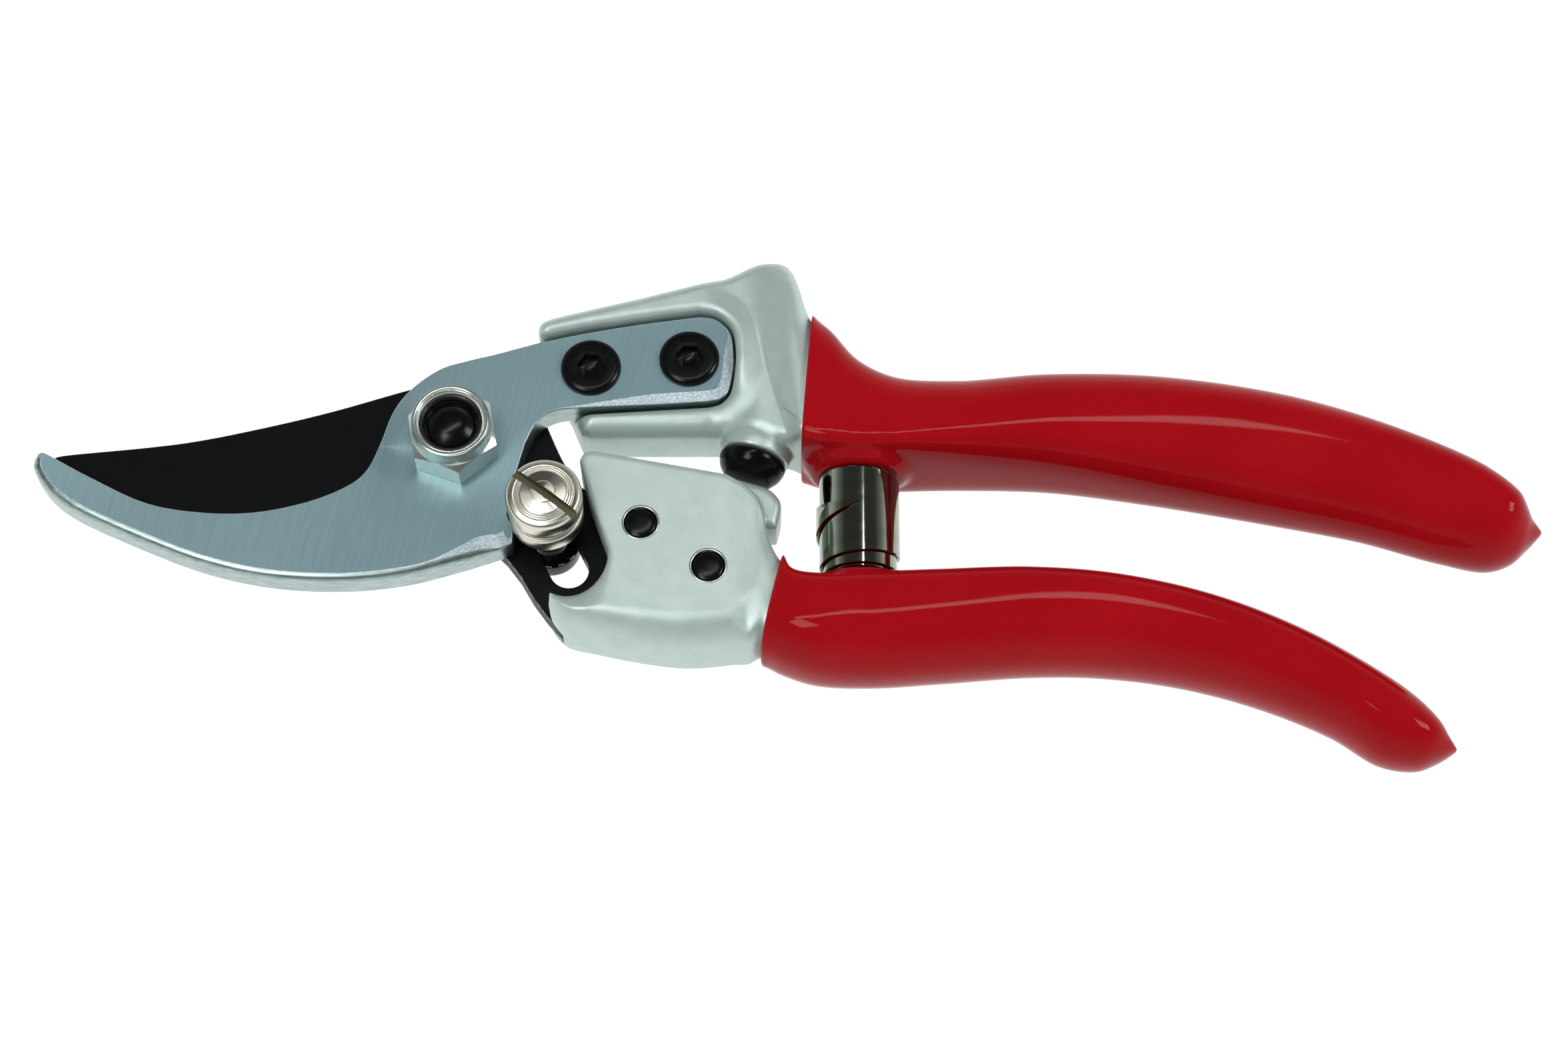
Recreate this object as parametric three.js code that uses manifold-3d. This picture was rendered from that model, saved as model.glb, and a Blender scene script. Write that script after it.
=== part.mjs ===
// A one-hand bypass pruner, closed and locked, as separate solids.
// Millimetres, +Z up. The pivot axis is Z through the origin, the handles run to +X and the jaws
// to -X. z = 0 is the plane that the pivot bolt's head and both grips rest on.
// Two bodies turn about the pivot: the hook side (root) and the blade side, which carries the catch.
import * as THREE from 'three';
import { mergeVertices } from 'three/addons/utils/BufferGeometryUtils.js';
import Module from 'manifold-3d';

const wasm = await Module();
wasm.setup();

// ---- Driving dimensions -------------------------------------------------------------------------
const GAP = 0.3; // clearance where one piece sits in a hole or a pocket of another
const CURVE_STEPS = 2; // straight steps per stretch between two points of a curve
const ROUND_SIDES = 32; // sides of a turned piece
const BORE_SIDES = 48; // sides of the pivot's bores and bush

const MID_Z = 9; // the mid-plane of both handles
const BLADE = { bottom: 6, top: 8.95 }; // the cutting blade slides under the hook
const HOOK = { bottom: 9, top: 13.3 };
const FRAME = { bottom: 2.6, rimTop: 15, railTop: 12, floorTop: 8.9 }; // the hook side's tray
const CHEEK = { bottom: 3, top: 15 }; // the blade side's riveted head
const SHEATH = 1; // thickness of the dipped grips

const PIVOT = { threadRadius: 3.5, bushRadius: 4.6, boreRadius: 4.75, acrossFlats: 11.5 };
const BOLT = { headHeight: 4.8, top: 19.9, pointRadius: 1, pointHeight: 1.1 };
const RUNNING_FIT = 0.15; // clearance round a shank that a ring turns or slides on
const FACE_GAP = 0.05; // clearance between faces that bear on each other
const WASHER = { bottom: 4.85, top: 5.9, radius: 7 };
const NUT = { bottom: 13.35, hexTop: 17.7, top: 20.4, collarRadius: 5.5, seatRadius: 4.5, turn: -20 };

const SCREW = { headRadius: 4.25, headHeight: 1, radius: 2.4, bottom: 3, rounding: 0.4 };
const SOCKET = { across: 3.4, depth: 0.8 }; // the hexagon that a key turns
const HOOK_SCREWS = [
  ['hook_screw_front', 18.9, 11.5],
  ['hook_screw_rear', 32.8, 12.9],
];
const RIVET = { radius: 2.3, bottom: 2.8, top: 14.9 };
const RIVETS = [
  ['rivet_front', 26.4, -13.1],
  ['rivet_rear', 35.8, -19.6],
];

const SLOT = { start: [13.3, -11.6], end: [16.3, -17.7], halfWidth: 2.75 }; // the catch slides here
const CATCH = { neckRadius: 2.4, sleeveRadius: 3, nutRadius: 4.2 };
const CATCH_STACK = { bottom: 2.2, nutTop: 5.15, washerBottom: 5.2, sleeveTop: 13.35 };
const KNOB = {
  bottom: 2.4,
  collar: { bottom: 13.4, top: 16.4, radius: 5.2 },
  waistRadius: 4.6,
  head: { bottom: 18.2, rim: 21.2, radius: 5.3, crownRadius: 4.2 },
  top: 22.2,
  driverSlot: { halfWidth: 0.55, floor: 20.6, turn: -35 },
};

const BUFFER = { seat: [41.9, -0.9], tip: [41, -4.1], radius: 4.7, tipRadius: 3.3 };
const STEM = { radius: 2, length: 4 }; // the buffer's own peg
const SPRING = { x: 56.7, top: -4.5, bottom: -19.2, radius: 5.3, wideRadius: 5.9, boreRadius: 3.3 };
const SPRING_SEAT = {
  upperY: -3.9,
  lowerY: -19.8,
  radius: 6.2,
  depth: 2.5,
  studRadius: 2.7,
  studTipRadius: 2.15,
  studLength: 3,
};

const INSERT_DEPTH = 0.7; // how far the nylon ring lies below the nut's rim

// ---- Materials ----------------------------------------------------------------------------------
function finish(color, roughness, metalness) {
  return new THREE.MeshStandardMaterial({ color, roughness, metalness });
}

const alloy = finish(0xb9c2bd, 0.5, 0.9);
const redVinyl = finish(0xb0141c, 0.18, 0);
const brushedSteel = finish(0x7f8f96, 0.38, 1);
const blackCoat = finish(0x0d1012, 0.45, 0);
const blackOxide = finish(0x17181a, 0.35, 0.6);
const zincPlate = finish(0xa9b3ab, 0.25, 1);
const nickel = finish(0xb5b09c, 0.18, 1);
const nylon = finish(0x1a1a1c, 0.4, 0);
const rubber = finish(0x111214, 0.4, 0);
const springSteel = finish(0x5d564c, 0.12, 1);

// ---- Shapes -------------------------------------------------------------------------------------
const points2 = (list) => list.map(([x, y]) => new THREE.Vector2(x, y));
const line = (...list) => points2(list);

// A smooth run through its points.
function curve(...list) {
  return new THREE.SplineCurve(points2(list)).getPoints((list.length - 1) * CURVE_STEPS);
}

// An arc about a centre, from one angle to another in degrees.
function arc([x, y], radius, from, to, steps = 8) {
  return Array.from({ length: steps + 1 }, (_, i) => {
    const angle = THREE.MathUtils.degToRad(from + ((to - from) * i) / steps);
    return new THREE.Vector2(x + radius * Math.cos(angle), y + radius * Math.sin(angle));
  });
}

const outline = (...runs) => new THREE.Shape(runs.flat());

// A slot's outline: two half circles about its ends.
function slotOutline([x0, y0], [x1, y1], radius) {
  const heading = THREE.MathUtils.radToDeg(Math.atan2(y1 - y0, x1 - x0));
  return outline(
    arc([x1, y1], radius, heading - 90, heading + 90),
    arc([x0, y0], radius, heading + 90, heading + 270),
  );
}

// ---- Solids -------------------------------------------------------------------------------------
// A closed geometry as a manifold solid. Merging makes pole triangles empty, so those go, and a
// mirrored form is turned to face out.
function solid(geometry) {
  geometry.deleteAttribute('normal');
  geometry.deleteAttribute('uv');
  const merged = mergeVertices(geometry, 1e-4);
  const kept = [];
  for (let i = 0; i < merged.index.count; i += 3) {
    const [a, b, c] = merged.index.array.subarray(i, i + 3);
    if (a !== b && b !== c && c !== a) kept.push(a, b, c);
  }
  const { array } = merged.attributes.position;
  const closed = (triVerts) =>
    new wasm.Manifold(new wasm.Mesh({ numProp: 3, vertProperties: array, triVerts }));
  const made = closed(new Uint32Array(kept));
  return made.volume() > 0 ? made : closed(new Uint32Array(kept.reverse()));
}

// A flat plate with this outline. grow widens it all round, which makes a clearance cutter.
function slab(shape, bottom, top, grow = 0) {
  const geometry = new THREE.ExtrudeGeometry(shape, {
    depth: top - bottom,
    bevelEnabled: grow > 0,
    bevelSize: grow,
    bevelThickness: grow,
    bevelSegments: 1,
  });
  return solid(geometry.translate(0, 0, bottom));
}

// A solid of revolution about Z. The profile is [radius, z] and runs up the outside.
function turned(profile, sides = ROUND_SIDES) {
  return solid(new THREE.LatheGeometry(points2(profile), sides).rotateX(Math.PI / 2));
}

const rod = (radius, bottom, top, sides) =>
  turned([[0, bottom], [radius, bottom], [radius, top], [0, top]], sides);

const ring = (inner, outer, bottom, top, sides) =>
  turned([[inner, bottom], [outer, bottom], [outer, top], [inner, top], [inner, bottom]], sides);

// A hexagonal bar, with its first corner at an angle in degrees.
function hexBar(acrossFlats, bottom, top, turn = 0) {
  const radius = acrossFlats / 2 / Math.cos(Math.PI / 6);
  const geometry = new THREE.CylinderGeometry(radius, radius, top - bottom, 6);
  geometry.rotateX(Math.PI / 2).rotateZ(THREE.MathUtils.degToRad(turn - 30));
  return solid(geometry.translate(0, 0, (bottom + top) / 2));
}

// Rings of points, skinned in order and closed by a fan at each end.
function loft(rings) {
  const sides = rings[0].length;
  const last = (rings.length - 1) * sides;
  const centre = (list) =>
    list.reduce((sum, p) => sum.add(p), new THREE.Vector3()).divideScalar(list.length);
  const points = [...rings.flat(), centre(rings[0]), centre(rings.at(-1))];
  const index = [];
  for (let side = 0; side < sides; side++) {
    const next = (side + 1) % sides;
    for (let start = 0; start < last; start += sides) {
      const [a, b] = [start + side, start + next];
      index.push(a, b, a + sides, b, b + sides, a + sides);
    }
    index.push(points.length - 2, next, side, points.length - 1, last + side, last + next);
  }
  return solid(new THREE.BufferGeometry().setFromPoints(points).setIndex(index));
}

// Stands a solid that was made along Z on a point, aimed along a direction.
function aimed(body, [x, y, z], direction) {
  const turn = new THREE.Quaternion().setFromUnitVectors(
    new THREE.Vector3(0, 0, 1),
    new THREE.Vector3(...direction).normalize(),
  );
  const matrix = new THREE.Matrix4().compose(
    new THREE.Vector3(x, y, z),
    turn,
    new THREE.Vector3(1, 1, 1),
  );
  return body.transform(matrix.elements);
}

const drill = (x, y, radius, bottom, top) => rod(radius, bottom, top, 24).translate([x, y, 0]);

// ---- Handle forms -------------------------------------------------------------------------------
// A handle is a row of cross-sections, each from its wall, which faces the other handle, to its
// back: [wall x, wall y, back x, back y, half thickness]. Corners are square-ish at the wall and
// round at the back. The grip starts at GRIP_START; the sections before it are the bare alloy neck,
// given a sheath's thickness too large because the alloy is the form less a sheath and its gap.
const GRIP_START = 2;
const UPPER_FORM = [
  [40, 0.9, 40.5, 28.8, 7.6],
  [45, -0.8, 46.6, 29.8, 9.1],
  [48.6, -1.4, 50.3, 20.9, 8.8],
  [51.6, -2.3, 53.2, 17.9, 9],
  [56, -2.8, 56.8, 13.6, 9],
  [62, -2.8, 62, 11, 9],
  [71, -3.1, 71, 10.5, 9],
  [84, -4.05, 83.5, 11.5, 9],
  [99, -6.7, 100, 11, 9],
  [114, -9.8, 118, 7.8, 8.9],
  [127, -12.7, 133, 2.6, 8.7],
  [138, -16.1, 144.5, -3.2, 8.4],
  [144.3, -17.3, 149.2, -7.1, 7.6],
  [147.8, -16.5, 150.2, -8.9, 5.3],
  [149.9, -14.8, 150.9, -10.3, 3],
  [151.3, -13.4, 151.6, -11.2, 1.6],
  [152.1, -12.5, 152.2, -11.9, 0.5],
];
const LOWER_FORM = [
  [39, -8, 37.5, -32, 7.2],
  [44.2, -14, 41, -32, 7.4],
  [46.2, -16.9, 42.9, -31.2, 7.3],
  [47.4, -19.4, 46, -32.5, 8.4],
  [51, -20.3, 50.5, -34, 9],
  [58, -20.1, 58, -34.5, 9],
  [68, -19.6, 68, -33.9, 9],
  [80, -19.2, 80, -33, 9],
  [92, -20, 90, -33.1, 8.8],
  [105, -22.8, 101, -34.6, 8.5],
  [117, -27.5, 111.5, -37.6, 8.1],
  [127, -33.3, 121, -41.8, 7.6],
  [132.6, -37.4, 127.4, -46.1, 7.1],
  [135.5, -40.7, 132.4, -47, 5.6],
  [136.7, -42.7, 135.1, -46.2, 3.3],
  [137.4, -43.8, 136.8, -45.3, 1.7],
  [137.8, -44.3, 137.7, -44.7, 0.5],
];
const WALL_SHARE = 0.45; // the widest line of a section, as a share of its width from the wall
const WALL_SQUARENESS = 4.5; // superellipse exponents
const BACK_SQUARENESS = 2.3;
const SECTION_SIDES = 16;
const SECTIONS_PER_STATION = 2;

// The cross-section ring between a wall point and a back point.
function sectionRing(wall, back, half, inset) {
  const across = back.clone().sub(wall);
  const width = across.length();
  across.normalize();
  const middle = wall.clone().addScaledVector(across, WALL_SHARE * width);
  const bend = (value, squareness) => Math.sign(value) * Math.abs(value) ** (2 / squareness);
  return Array.from({ length: SECTION_SIDES }, (_, i) => {
    const angle = (2 * Math.PI * i) / SECTION_SIDES;
    const toBack = Math.cos(angle) > 0;
    const squareness = toBack ? BACK_SQUARENESS : WALL_SQUARENESS;
    const reach = (toBack ? 1 - WALL_SHARE : WALL_SHARE) * width - inset;
    const point = middle.clone().addScaledVector(across, reach * bend(Math.cos(angle), squareness));
    point.z = MID_Z + (half - inset) * bend(Math.sin(angle), squareness);
    return point;
  });
}

// A handle form between two stations, made smaller all round by an inset.
function handleForm(form, inset, first, last) {
  const through = (pick) => new THREE.CatmullRomCurve3(form.map(pick));
  const walls = through(([x, y, , , half]) => new THREE.Vector3(x, y, half));
  const backs = through(([, , x, y]) => new THREE.Vector3(x, y, 0));
  const count = Math.round((last - first) * SECTIONS_PER_STATION);
  const rings = Array.from({ length: count + 1 }, (_, i) => {
    const t = (first + ((last - first) * i) / count) / (form.length - 1);
    const wall = walls.getPoint(t);
    const back = backs.getPoint(t);
    const half = wall.z;
    wall.z = 0;
    return sectionRing(wall, back, half, inset);
  });
  return loft(rings);
}

const CORE_END = 12; // the alloy stops short of the grip's tip
const core = (form) => handleForm(form, SHEATH + GAP, 0, CORE_END);

// A dipped vinyl grip: the handle's form, hollowed for the alloy, with a seat for the spring.
function grip(form, seatY, towards) {
  const { radius, depth, studRadius, studTipRadius, studLength } = SPRING_SEAT;
  const pad = turned([
    [0, -depth],
    [radius, -depth],
    [radius, 0],
    [studRadius, 0],
    [studTipRadius, studLength],
    [0, studLength],
  ]);
  const seat = aimed(pad, [SPRING.x, seatY, MID_Z], [0, towards, 0]);
  return handleForm(form, 0, GRIP_START, form.length - 1)
    .add(seat)
    .subtract(handleForm(form, SHEATH, 0, CORE_END + 0.5));
}

// ---- Flat outlines ------------------------------------------------------------------------------
// The counter-blade: a hook that the blade passes, a hub round the pivot and a bolted tail.
const hookTail = [
  curve([11, 2.5], [12.8, 4.3], [14.7, 5.1]),
  line([16.5, 5.3], [35.3, 6.5]),
  curve([37, 6.8], [38.3, 8], [39, 11], [39.1, 14], [38.6, 17.2], [36.6, 19.3], [34.2, 19.8]),
  curve([25.7, 18.6], [18.1, 17.2], [12, 15.8]),
];
const hookOutline = outline(
  curve([-59, -3.1], [-56.6, -6.2], [-50.6, -10.7], [-42.8, -15], [-35.1, -18.1], [-27.6, -20.1],
    [-20.1, -21], [-12.7, -21], [-5.3, -20], [2, -17.9], [7, -16.2]),
  curve([8.6, -15.2], [8.6, -13.2], [7.8, -11.2], [7.9, -7.9], [9, -3.8], [9.9, -0.2]),
  ...hookTail,
  curve([5, 13.7], [1.2, 12.7], [-2.5, 11.4], [-6.4, 8.3], [-8.8, 4.7], [-10.4, -0.2], [-12.1, -4.3],
    [-14.8, -6.8], [-20.2, -9.2], [-27.5, -10.8], [-34.9, -10.8], [-42.5, -9.4], [-50.2, -5.7]),
  line([-57.8, -1.7]),
);
// The pocket that holds the hook's tail in the tray, open towards the pivot.
const pocketOutline = outline(line([5, 0], [11, 2.5]), ...hookTail, line([5, 13.7]));

// The cutting blade: its back runs over the hub, its tang goes into the lower handle, and its edge
// comes back to the tip behind the hook.
const tang = [
  curve([12.5, 4.8], [15.1, -1.1], [18, -5.2], [24, -8.2], [32, -12.2], [38.4, -16.6],
    [39.6, -19.6], [38.4, -23], [35, -24.4], [27, -25.9], [19, -27.2], [15.6, -26.9], [13.4, -24.8]),
  line([11.4, -22], [9.5, -18.7], [7.5, -16]),
];
const bladeOutline = outline(
  curve([-57, -0.6], [-55.2, 0], [-44, 1.2], [-36.5, 2.3], [-27.2, 4.4], [-17.9, 6.9], [-6.9, 10.4],
    [-1, 11.8], [5, 11], [9.5, 8.3]),
  ...tang,
  curve([2.5, -11], [-3, -9], [-8, -9], [-13.5, -10.2], [-20.2, -12], [-27.5, -13.2],
    [-34.9, -13.2], [-42.5, -11.7], [-50.2, -7.8], [-55.8, -3.4]),
);
// The lower handle's slot, which opens towards the pivot.
const tangOutline = outline(...tang);

const trayOutline = outline(
  curve([11.4, 15.9], [11.4, 17.8], [12.6, 18.9], [16.3, 20]),
  line([25.7, 22.4], [37.1, 25.7]),
  curve([39.4, 26.8], [41, 27], [42, 25.6]),
  line([42.4, 2.8], [41.6, 2.1], [18.6, 2.1]),
  curve([17.6, 2.5], [17, 3.8]),
  line([16, 6.4]),
);
const RAIL_REACH = { left: 15, right: 40.6, top: 9 }; // where the tray's wall is cut to a low rail
const railCut = outline(
  line([RAIL_REACH.left, 0], [RAIL_REACH.right, 0], [RAIL_REACH.right, RAIL_REACH.top],
    [RAIL_REACH.left, RAIL_REACH.top]),
);

// The lower handle's head: a thick cheek with a round bay for the catch to travel in.
const cheekOutline = outline(
  curve([17.7, -3.4], [18.4, -2.2], [19.8, -1.95]),
  line([38.3, -5.5]),
  curve([40.6, -6.5], [42.9, -8.5], [44.8, -12], [45.6, -15.8]),
  line([42.3, -30.8]),
  curve([39.2, -30.6], [32.7, -31.1], [26.2, -30.3], [20.6, -29.1], [16.4, -28], [14.4, -26],
    [13.8, -24.2]),
  arc(SLOT.end, 5.6, -115, 12),
  line([19.3, -9.6]),
);
const stopOutline = outline(
  line([37.6, -4.1]),
  curve([38.3, -4.4], [41.6, -5.4], [44.2, -6.4], [45.6, -8], [45.8, -9.6], [45.2, -12.4]),
  line([38, -12]),
);
const STOP = { bottom: 4.5, top: 12 };

// ---- Hook side ----------------------------------------------------------------------------------
function upperHandle() {
  const [x, y] = BUFFER.seat;
  const bufferAxis = [BUFFER.tip[0] - x, BUFFER.tip[1] - y, 0];
  const boss = aimed(rod(BUFFER.radius + GAP, -STEM.length, -GAP), [x, y, MID_Z], bufferAxis);
  const stemHole = rod(STEM.radius + GAP, -STEM.length - 2 * GAP, 1);
  const bufferHole = aimed(stemHole, [x, y, MID_Z], bufferAxis);
  let body = slab(trayOutline, FRAME.bottom, FRAME.rimTop)
    .add(core(UPPER_FORM))
    .add(boss)
    .subtract(slab(pocketOutline, FRAME.floorTop + GAP, FRAME.rimTop + 5, GAP))
    .subtract(slab(railCut, FRAME.railTop, FRAME.rimTop + 5))
    .subtract(bufferHole);
  for (const [, screwX, screwY] of HOOK_SCREWS)
    body = body.subtract(drill(screwX, screwY, SCREW.radius + GAP, FRAME.bottom - 1, HOOK.bottom));
  return body;
}

function hookBlade() {
  let body = slab(hookOutline, HOOK.bottom, HOOK.top);
  body = body.subtract(rod(PIVOT.boreRadius, HOOK.bottom - 1, HOOK.top + 1, BORE_SIDES));
  for (const [, x, y] of HOOK_SCREWS)
    body = body.subtract(drill(x, y, SCREW.radius + GAP, HOOK.bottom - 1, HOOK.top + 1));
  return body;
}

// A cap screw that stands on the hook's tail: a low round head with a hexagonal socket.
function hookScrew(x, y) {
  const headTop = HOOK.top + SCREW.headHeight;
  return turned([
    [0, SCREW.bottom],
    [SCREW.radius, SCREW.bottom],
    [SCREW.radius, HOOK.top],
    [SCREW.headRadius, HOOK.top],
    [SCREW.headRadius, headTop - SCREW.rounding],
    [SCREW.headRadius - SCREW.rounding, headTop],
    [0, headTop],
  ])
    .subtract(hexBar(SOCKET.across, headTop - SOCKET.depth, headTop + 1))
    .translate([x, y, 0]);
}

function pivotBolt() {
  const head = hexBar(PIVOT.acrossFlats, 0, BOLT.headHeight, NUT.turn);
  const shank = turned([
    [0, BOLT.headHeight - 1],
    [PIVOT.threadRadius, BOLT.headHeight - 1],
    [PIVOT.threadRadius, BOLT.top - BOLT.pointHeight],
    [BOLT.pointRadius, BOLT.top],
    [0, BOLT.top],
  ]);
  return head.add(shank);
}

// The locking nut: a hexagon under a round collar, which is bored out for the nylon ring.
function pivotNut() {
  const bore = PIVOT.threadRadius + GAP;
  return hexBar(PIVOT.acrossFlats, NUT.bottom, NUT.hexTop, NUT.turn)
    .add(rod(NUT.collarRadius, NUT.hexTop - 1, NUT.top))
    .subtract(rod(bore, NUT.bottom - 1, NUT.top + 1))
    .subtract(rod(NUT.seatRadius, NUT.hexTop, NUT.top + 1));
}

const pivotBush = () =>
  ring(PIVOT.threadRadius + RUNNING_FIT, PIVOT.bushRadius, WASHER.top + FACE_GAP, HOOK.top, BORE_SIDES);

const pivotWasher = () =>
  ring(PIVOT.threadRadius + GAP, WASHER.radius, WASHER.bottom, WASHER.top);

const nutInsert = () =>
  ring(
    PIVOT.threadRadius + RUNNING_FIT,
    NUT.seatRadius - RUNNING_FIT,
    NUT.hexTop + FACE_GAP,
    NUT.top - INSERT_DEPTH,
  );

// The rubber stop: a plug that tapers towards the lower handle, with a stem pushed into its boss.
function stopBuffer() {
  const [x, y] = BUFFER.seat;
  const [tipX, tipY] = BUFFER.tip;
  const length = Math.hypot(tipX - x, tipY - y);
  const profile = [
    [0, -STEM.length],
    [STEM.radius, -STEM.length],
    [STEM.radius, 0],
    [BUFFER.radius, 0],
    [BUFFER.radius, length * 0.3],
    [(BUFFER.radius + BUFFER.tipRadius) / 2, length * 0.8],
    [BUFFER.tipRadius, length],
    [0, length],
  ];
  return aimed(turned(profile, 24), [x, y, MID_Z], [tipX - x, tipY - y, 0]);
}

// The volute spring's envelope: wound strip, widest in the middle, round an open core.
function voluteSpring() {
  const length = SPRING.top - SPRING.bottom;
  const profile = [
    [SPRING.boreRadius, 0],
    [SPRING.radius, 0],
    [SPRING.radius, length * 0.36],
    [SPRING.wideRadius, length * 0.4],
    [SPRING.wideRadius, length * 0.7],
    [SPRING.radius, length * 0.74],
    [SPRING.radius, length],
    [SPRING.boreRadius, length],
    [SPRING.boreRadius, 0],
  ];
  return aimed(turned(profile), [SPRING.x, SPRING.bottom, MID_Z], [0, 1, 0]);
}

// ---- Blade side ---------------------------------------------------------------------------------
function lowerHandle() {
  let body = slab(cheekOutline, CHEEK.bottom, CHEEK.top)
    .add(core(LOWER_FORM))
    .add(slab(stopOutline, STOP.bottom, STOP.top))
    .subtract(slab(tangOutline, BLADE.bottom, BLADE.top, GAP));
  for (const [, x, y] of RIVETS)
    body = body.subtract(drill(x, y, RIVET.radius + GAP, CHEEK.bottom - 1, CHEEK.top + 1));
  return body;
}

function cuttingBlade() {
  const { bottom, top } = BLADE;
  let body = slab(bladeOutline, bottom, top)
    .subtract(rod(PIVOT.boreRadius, bottom - 1, top + 1, BORE_SIDES))
    .subtract(slab(slotOutline(SLOT.start, SLOT.end, SLOT.halfWidth), bottom - 1, top + 1));
  for (const [, x, y] of RIVETS)
    body = body.subtract(drill(x, y, RIVET.radius + GAP, bottom - 1, top + 1));
  return body;
}

// The catch's thumb knob: a slotted head and a collar on a neck that runs through the tang's slot.
function catchKnob() {
  const { bottom, collar, waistRadius, head, top, driverSlot } = KNOB;
  const { halfWidth, floor, turn } = driverSlot;
  const cutter = outline(
    line([-7, -halfWidth], [7, -halfWidth], [7, halfWidth], [-7, halfWidth]),
  );
  return turned([
    [0, bottom],
    [CATCH.neckRadius, bottom],
    [CATCH.neckRadius, collar.bottom],
    [collar.radius, collar.bottom],
    [collar.radius, collar.top],
    [waistRadius, collar.top],
    [waistRadius, head.bottom],
    [head.radius, head.bottom],
    [head.radius, head.rim],
    [head.crownRadius, top - 0.2],
    [0, top],
  ]).subtract(slab(cutter, floor, top + 1).rotate([0, 0, turn]));
}

const onCatch = (body) => body.translate([...SLOT.start, 0]);

// The sleeve keeps the knob's collar clear of the hook; the spring washer and the round nut under
// the tang give the catch its friction.
const catchRing = (outer, bottom, top) =>
  onCatch(ring(CATCH.neckRadius + RUNNING_FIT, outer, bottom, top));
const catchSleeve = () =>
  catchRing(CATCH.sleeveRadius, BLADE.top + FACE_GAP, CATCH_STACK.sleeveTop);
const catchWasher = () =>
  catchRing(CATCH.nutRadius, CATCH_STACK.washerBottom, BLADE.bottom - FACE_GAP);
const catchNut = () => catchRing(CATCH.nutRadius, CATCH_STACK.bottom, CATCH_STACK.nutTop);

const rivet = (x, y) => drill(x, y, RIVET.radius, RIVET.bottom, RIVET.top);

// ---- Assembly -----------------------------------------------------------------------------------
function named(name, body, material) {
  const { vertProperties, triVerts } = body.getMesh();
  const geometry = new THREE.BufferGeometry();
  geometry.setAttribute('position', new THREE.BufferAttribute(vertProperties, 3));
  geometry.setIndex(new THREE.BufferAttribute(triVerts, 1));
  geometry.computeVertexNormals();
  const mesh = new THREE.Mesh(geometry, material);
  mesh.name = name;
  return mesh;
}

const hookSide = new THREE.Group().add(
  named('upper_handle', upperHandle(), alloy),
  named('upper_grip', grip(UPPER_FORM, SPRING_SEAT.upperY, -1), redVinyl),
  named('hook_blade', hookBlade(), brushedSteel),
  ...HOOK_SCREWS.map(([name, x, y]) => named(name, hookScrew(x, y), blackOxide)),
  named('pivot_bolt', pivotBolt(), blackOxide),
  named('pivot_washer', pivotWasher(), zincPlate),
  named('pivot_bush', pivotBush(), nickel),
  named('pivot_nut', pivotNut(), zincPlate),
  named('nut_insert', nutInsert(), nylon),
  named('stop_buffer', stopBuffer(), rubber),
  named('volute_spring', voluteSpring(), springSteel),
);

const bladeSide = new THREE.Group().add(
  named('lower_handle', lowerHandle(), alloy),
  named('lower_grip', grip(LOWER_FORM, SPRING_SEAT.lowerY, 1), redVinyl),
  named('cutting_blade', cuttingBlade(), blackCoat),
  ...RIVETS.map(([name, x, y]) => named(name, rivet(x, y), blackOxide)),
);

const thumbCatch = new THREE.Group().add(
  named('catch_knob', onCatch(catchKnob()), nickel),
  named('catch_sleeve', catchSleeve(), blackOxide),
  named('catch_washer', catchWasher(), blackOxide),
  named('catch_nut', catchNut(), blackOxide),
);

bladeSide.add(thumbCatch);
const pruner = new THREE.Group().add(hookSide, bladeSide);
export default pruner;
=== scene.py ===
"""A bypass pruner, closed and locked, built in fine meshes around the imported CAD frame.

Shapes are worked out in millimetres in the CAD frame: the pivot axis is Z through the origin, the
handles run to +X, the jaws to -X, and z = 0 is the plane that the tool rests on.
"""
import math

import bmesh
import bpy
import numpy as np
import openvdb
from mathutils import Matrix, Vector

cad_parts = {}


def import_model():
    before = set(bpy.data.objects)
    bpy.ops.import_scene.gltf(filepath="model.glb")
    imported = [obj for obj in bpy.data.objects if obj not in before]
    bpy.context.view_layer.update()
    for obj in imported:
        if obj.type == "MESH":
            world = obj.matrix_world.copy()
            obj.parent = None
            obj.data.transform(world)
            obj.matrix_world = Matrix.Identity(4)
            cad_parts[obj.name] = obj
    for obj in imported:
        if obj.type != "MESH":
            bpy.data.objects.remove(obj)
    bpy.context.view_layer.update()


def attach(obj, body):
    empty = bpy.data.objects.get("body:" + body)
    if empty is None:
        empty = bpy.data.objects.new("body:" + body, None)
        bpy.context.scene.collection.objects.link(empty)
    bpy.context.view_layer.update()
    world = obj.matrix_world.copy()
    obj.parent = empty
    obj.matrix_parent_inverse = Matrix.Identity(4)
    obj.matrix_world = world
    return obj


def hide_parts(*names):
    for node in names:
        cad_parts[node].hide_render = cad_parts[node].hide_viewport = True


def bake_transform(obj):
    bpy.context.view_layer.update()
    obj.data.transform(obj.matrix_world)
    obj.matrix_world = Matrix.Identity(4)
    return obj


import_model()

MM = 0.001
HOOK_SIDE, BLADE_SIDE, CATCH_SIDE = "hook_side", "blade_side", "thumb_catch"

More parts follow.
